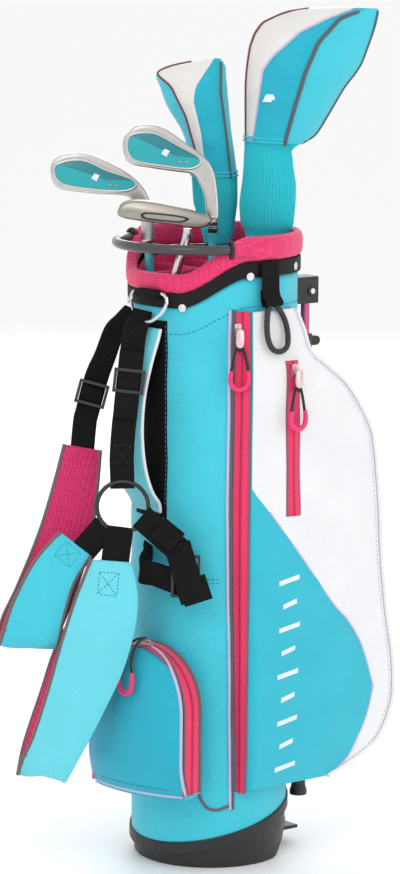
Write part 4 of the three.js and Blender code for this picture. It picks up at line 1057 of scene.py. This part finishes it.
def iron(body, butt, collar, ferrule, hosel, blade, cavity, upper):
    """An iron's head around its CAD shaft: blade, hosel, ferrule and the badge in its cavity."""
    put = club_frame(butt, collar)
    plate_shape(f"{body}_blade", blade, IRON_EDGE, put, IRON, body, [f"{body}_head"])
    neck = blade[0][1]
    rise = (ferrule + 0.4, ferrule + 8, neck, neck + 6, neck + 12)
    cord_tube(f"{body}_hosel", [put(0, 0, z) for z in rise], lambda f: hosel - 3.2 * smooth(f, 0.7, 1), IRON,
              body, sides=24)
    cord_tube(f"{body}_ferrule", [put(0, 0, z) for z in (ferrule - 8, ferrule - 4, ferrule - 0.3)],
              lambda f: 5.0 + (hosel - 5.6) * f, PLASTIC, body, sides=24)
    for k, z in enumerate((ferrule - 1.4, ferrule - 3.2)):
        ring = [put(math.cos(q) * (hosel - 1.0), math.sin(q) * (hosel - 1.0), z) for q in circle(16)]
        cord_tube(f"{body}_ferrule_ring_{k}", ring, 0.5, STEEL, body, closed=True, step=2)
    rim = [put(x, -5.3, z) for x, z, _ in spline([(x, z, 0) for x, z in cavity], 3, True)]
    cord_tube(f"{body}_cavity_rim", rim, 1.5, IRON, body, closed=True, raw=True)
    plate_shape(f"{body}_cavity_badge", cavity, [(-4.8, 0), (-5.7, 0.4), (-5.75, 1.2)], put, BADGE, body,
                step=3)
    plate_shape(f"{body}_cavity_facet", upper, [(-5.5, 0), (-6.2, 0.5), (-6.25, 1.2)], put, BADGE_DARK, body,
                round_off=False)
    x, z = np.mean(np.array(cavity), axis=0)
    lozenge = [(x - 4.4, z - 1), (x - 1, z + 4), (x + 4.6, z + 2), (x + 1, z - 4.4)]
    plate_shape(f"{body}_cavity_mark", lozenge, [(-5.7, 0), (-6.7, 0)], put, MARK, body, round_off=False)
    for k in range(2):
        line = [put(x + end - 7 * k, -6.1, z - 9.5 + 0.6 * k) for end in (24, 20)]
        cord_tube(f"{body}_cavity_line_{k}", line, 0.6, IRON, body)


def clubs():
    """The irons and the putter; outlines are (x, z) in each club's own axes."""
    iron("iron_long", (-28, 22), (-53, 42), 647, 6.8,
         [(-6.5, 672), (-9, 683), (-14.5, 689.5), (-23, 697), (-48, 699.5), (-69, 702.5), (-89, 706.5),
          (-97, 715.5), (-98, 731), (-91, 739.5), (-75, 743.5), (-56, 741.5), (-31, 729.5), (-16, 719.5),
          (-5.5, 708.5), (2.5, 694), (6.5, 672)],
         [(-93, 731.5), (-66, 736.5), (-40, 725), (-11, 712.5), (-17, 703), (-48, 704), (-88, 713)],
         [(-88, 733), (-64, 735.4), (-36, 722.5), (-14, 712.8), (-40, 714.5)])
    iron("iron_short", (-30, -20), (-21, -21), 668, 5.6,
         [(-5.3, 674), (-10, 698.5), (-17, 714.5), (-24, 720.5), (-40, 722.5), (-65, 725.5), (-86, 729.5),
          (-93.5, 739.5), (-94.5, 754.5), (-89.5, 761), (-81.5, 768.5), (-66.5, 770.5), (-50.5, 765.5),
          (-30.5, 752.5), (-9.5, 737.5), (-0.5, 724.5), (4, 704.5), (5.3, 674)],
         [(-88.5, 757.5), (-63.5, 762), (-36, 749), (-14.5, 737), (-20.5, 727), (-45.5, 727.5), (-85, 735)],
         [(-84, 758.5), (-62, 761), (-34, 746.5), (-17, 737), (-40, 739)])
    put = club_frame((-52, -18), (-65, -12.5))
    outline = [(-57, 682.5), (-54, 691.5), (-46, 695.5), (-34, 696.5), (-8, 692.5), (17, 685.5),
               (37, 678.5), (38.5, 673), (36, 669.5), (23, 667.5), (-3, 671.5), (-34, 675.5),
               (-50, 678.5)]
    levels = [(8, 3), (7, 1), (5, 0.1), (-10, 0), (-12.8, 0.9), (-14, 2.6)]
    plate_shape("putter_body", outline, levels, put, PUTTER, "putter", ["putter_head"], step=3)
    recess = [(-33, 680.5), (-29, 685), (4, 681.5), (17, 677.6), (9, 673.6), (-10, 675), (-29, 677.6)]
    plate_shape("putter_recess", recess, [(-13.4, 0), (-14.6, 0.3), (-14.7, 0.9)], put, PLASTIC, "putter")
    insert = [(-30, 680.6), (-27, 683.4), (3, 680.2), (13, 677.4), (7, 675.2), (-10, 676.6), (-27, 679)]
    plate_shape("putter_insert", insert, [(-14.2, 0), (-15.2, 0.4)], put, PUTTER, "putter")


# ---------------------------------------------------------------- headcovers
# A headcover's slices are (height, left, right, half thickness) rows in the club's own axes.
def slice_at(slices, z):
    rows = np.array(slices, float)
    return [float(np.interp(z, rows[:, 0], rows[:, k])) for k in (1, 2, 3)]


def cover_point(slices, x, z, side):
    """A point of the padded shell: side -1 is the face towards the photographer, 1 the back."""
    x0, x1, half = slice_at(slices, z)
    u = clamp((2 * x - x0 - x1) / (x1 - x0), -1, 1)
    crease = 0.5 * math.sin(0.17 * z + 0.05 * x) + 0.4 * math.sin(0.11 * x - 0.23 * z)
    return x, side * (half * (1 - abs(u) ** 2.4) ** 0.62 + crease * (1 - u * u)), z


PANEL_STEPS = 9


def cover(body, put, slices, first, last, cuts, mats, stands_for):
    """Padded panels between seams: cuts are (x, z) seam lines from left to right.

    Returns the slices at a closer spacing."""
    dense = spline([row for row in slices if first <= row[0] <= last], 5)
    rows = []
    for z, x0, x1, _ in dense:
        limits = [x0] + [clamp(table(c, z), x0 + 0.8, x1 - 0.8) for c in cuts] + [x1]
        for k in range(1, len(limits) - 1):
            limits[k] = clamp(limits[k], limits[k - 1] + 0.5, x1 - 0.5 * (len(limits) - 1 - k))
        face, back = [], []
        for left, right in zip(limits, limits[1:]):
            for i in range(PANEL_STEPS):
                f = i / PANEL_STEPS
                x = left + (right - left) * (0.5 - 0.5 * math.cos(math.pi * f))
                puff = 1 + 0.05 * math.sin(math.pi * f)
                for line, side in ((face, -1), (back, 1)):
                    _, y, _ = cover_point(dense, x, z, side)
                    line.append(put(x, y * puff, z))
        end = cover_point(dense, x1, z, -1)
        rows.append(face + [put(*end)] + back[::-1][:-1])
    verts, faces, cells = loft(rows)
    count = PANEL_STEPS * (len(cuts) + 1)

    def panel(j):
        k = j if j < count else 2 * count - 1 - j
        return min(len(mats) - 1, max(0, k // PANEL_STEPS))

    piece(f"{body}_shell", verts, faces, mats, body, stands_for, [panel(j) for i, j in cells])
    return dense


def sock(body, put, slices, low, high, ribs):
    """The knitted neck: ribs round it, and an inner wall."""
    rows = []
    for k in range(29):
        z = low + (high - low) * k / 28
        x0, x1, half = slice_at(slices, z)
        mid, wide = (x0 + x1) / 2, (x1 - x0) / 2
        gather = 1 + 0.012 * math.sin(0.16 * (z - low)) * (k / 28)
        row = []
        for a in circle(ribs * 6):
            rib = 1 + 0.034 * math.cos(ribs * a + 0.25 * math.sin(0.12 * z)) - 0.02
            row.append(put(mid + wide * rib * gather * math.cos(a), half * rib * gather * math.sin(a), z))
        rows.append(row)
    inner = [[p + (np.mean(np.array(r), axis=0) - p) * 0.1 for p in r] for r in rows[::-1]]
    verts, faces, _ = loft(rows + inner, closed=True)
    piece(f"{body}_sock", verts, faces, [KNIT], body)


def seam_cord(tag, body, put, slices, line, radius, mat, side):
    """A cord over a seam on one face of the shell."""
    pts = []
    line = sorted(line, key=lambda p: p[1])
    for z in np.arange(line[0][1], line[-1][1], 4.0):
        x0, x1, _ = slice_at(slices, z)
        x, y, _ = cover_point(slices, clamp(table(line, z), x0 + 0.8, x1 - 0.8), z, side)
        pts.append(put(x, y + side * 0.5, z))
    cord_tube(f"{body}_{tag}", pts, radius, mat, body)


def cuffs(body, put, slices, levels, proud, radius):
    """Two raised rings where the knitted neck meets the shell."""
    for k, z in enumerate(levels):
        x0, x1, half = slice_at(slices, z)
        ring = [put((x0 + x1) / 2 + (x1 - x0) * 0.51 * math.cos(q), (half + proud) * math.sin(q), z)
                for q in circle(24)]
        cord_tube(f"{body}_cuff_{k}", ring, radius, KNIT, body, closed=True)


def span(line, low, high):
    """The part of a seam line between two heights."""
    return [(table(line, z), z) for z in np.linspace(low, high, 40)]


def screws():
    """The screw that holds the leg bracket: a washer-like ring and the head in it."""
    out = (-0.07, -0.998, 0)
    rivet("leg_bracket_screw", np.array((85.2, -58.4, 601)), out, 5.6, PLASTIC)
    rivet("leg_bracket_screw_core", np.array((85.1, -59.6, 601)), out, 3.0)


def driver_cover():
    """The large cover: white and teal panels over a long knitted neck."""
    put = club_frame((30, -24), (48.5, -29.2), 16)
    rows = [(634, -23, 19, 19), (648, -25, 20.5, 22), (655, -30, 25, 25), (674, -32, 26, 26),
            (699, -30, 26, 26), (717, -29, 22, 25), (734, -29, 19.5, 23), (741, -29.5, 30, 25),
            (750, -30, 44, 27), (774, -31, 58, 29), (801, -32, 72.5, 31), (822, -31, 87, 31),
            (844, -28, 95, 28), (864, -18, 101, 20), (874, 2, 103, 15), (880, 22, 104, 11),
            (883.5, 58, 103.5, 7)]

    def local(line):
        """Seam lines measured beside the bag, moved to the cover's own axes."""
        return [(v + 54 - (55.9 + 0.0288 * (z - 624)), z - 16) for v, z in line]

    white = local([(-22, 745), (-15, 764), (-6, 832), (4, 847), (32, 873), (63, 889), (84, 897), (90, 901)])
    grey = local([(17, 745), (19, 763), (26, 790), (38, 832), (51, 863), (74, 889), (96, 897), (104, 901)])
    body = "driver_headcover"
    shell = cover(body, put, rows, 738, 883.5, [white, grey], [COVER_WHITE, TEAL_DEEP, TEAL], [body])
    sock(body, put, rows, 634, 744, 50)
    for side, tag in ((-1, "face"), (1, "back")):
        seam_cord(f"grey_{tag}", body, put, shell, span(grey, 740, 882), 2.1, GREY_PIPING, side)
        seam_cord(f"pale_{tag}", body, put, shell, span(white, 740, 882), 1.0, PIPING, side)
    left = [(x0 + 1.5, z) for z, x0, x1, h in shell[::3]]
    right = [(x1 - 0.6, z) for z, x0, x1, h in shell[::3]]
    seam_cord("maroon", body, put, shell, left, 1.3, MAROON, -1)
    seam_cord("edge", body, put, shell, right, 1.5, GREY_PIPING, -1)
    cuffs(body, put, rows, (742, 746), 0.6, 1.2)
    mark = [(-13, 784), (-9.5, 792), (-2, 792), (-1, 789.6), (7, 789.6), (5.4, 786.4), (-3, 786.4), (-4, 784)]
    plate_shape(f"{body}_mark", mark, [(-24, 0), (-30.6, 0)], put, MARK, body, round_off=False)


def hybrid_cover():
    """The smaller cover behind it, four panels and a short neck."""
    put = club_frame((17, 20), (17.7, 16.5))
    rows = [(643, -13.5, 14, 14), (657, -16.5, 17, 16), (684, -25, 20, 17), (714, -28, 20, 17),
            (739, -32, 16.5, 19), (761, -39, 13, 21), (787, -55, 10, 23), (806, -62, 8, 22),
            (820, -66.5, 6.5, 18), (828, -52, 6, 13), (834, -26, 3, 9), (837, -14, 0, 6)]

    def local(line):
        """The same move, for an upright club."""
        return [(v, z - 5.5) for v, z in line]

    brown = local([(-70, 832), (-67, 826), (-51, 814), (-35, 783), (-24, 746), (-22, 718)])
    white = local([(-6, 843), (-25, 814), (-27, 799), (-19, 767), (-14, 731), (-13, 718)])
    dark = local([(1, 843), (1, 809), (7, 768), (12, 728), (13, 718)])
    body = "hybrid_headcover"
    mats = [TEAL, COVER_WHITE, TEAL_DEEP, TEAL]
    shell = cover(body, put, rows, 712, 837, [brown, white, dark], mats, [body])
    sock(body, put, rows, 643, 717, 40)
    for side, tag in ((-1, "face"), (1, "back")):
        seam_cord(f"maroon_{tag}", body, put, shell, span(brown, 713, 836), 1.2, MAROON, side)
        seam_cord(f"dark_{tag}", body, put, shell, span(dark, 713, 836), 1.5, GREY_PIPING, side)
    cuffs(body, put, rows, (715, 719), 0.5, 1.1)


straps()
pads()
zip_grips()
clubs()
screws()
driver_cover()
hybrid_cover()
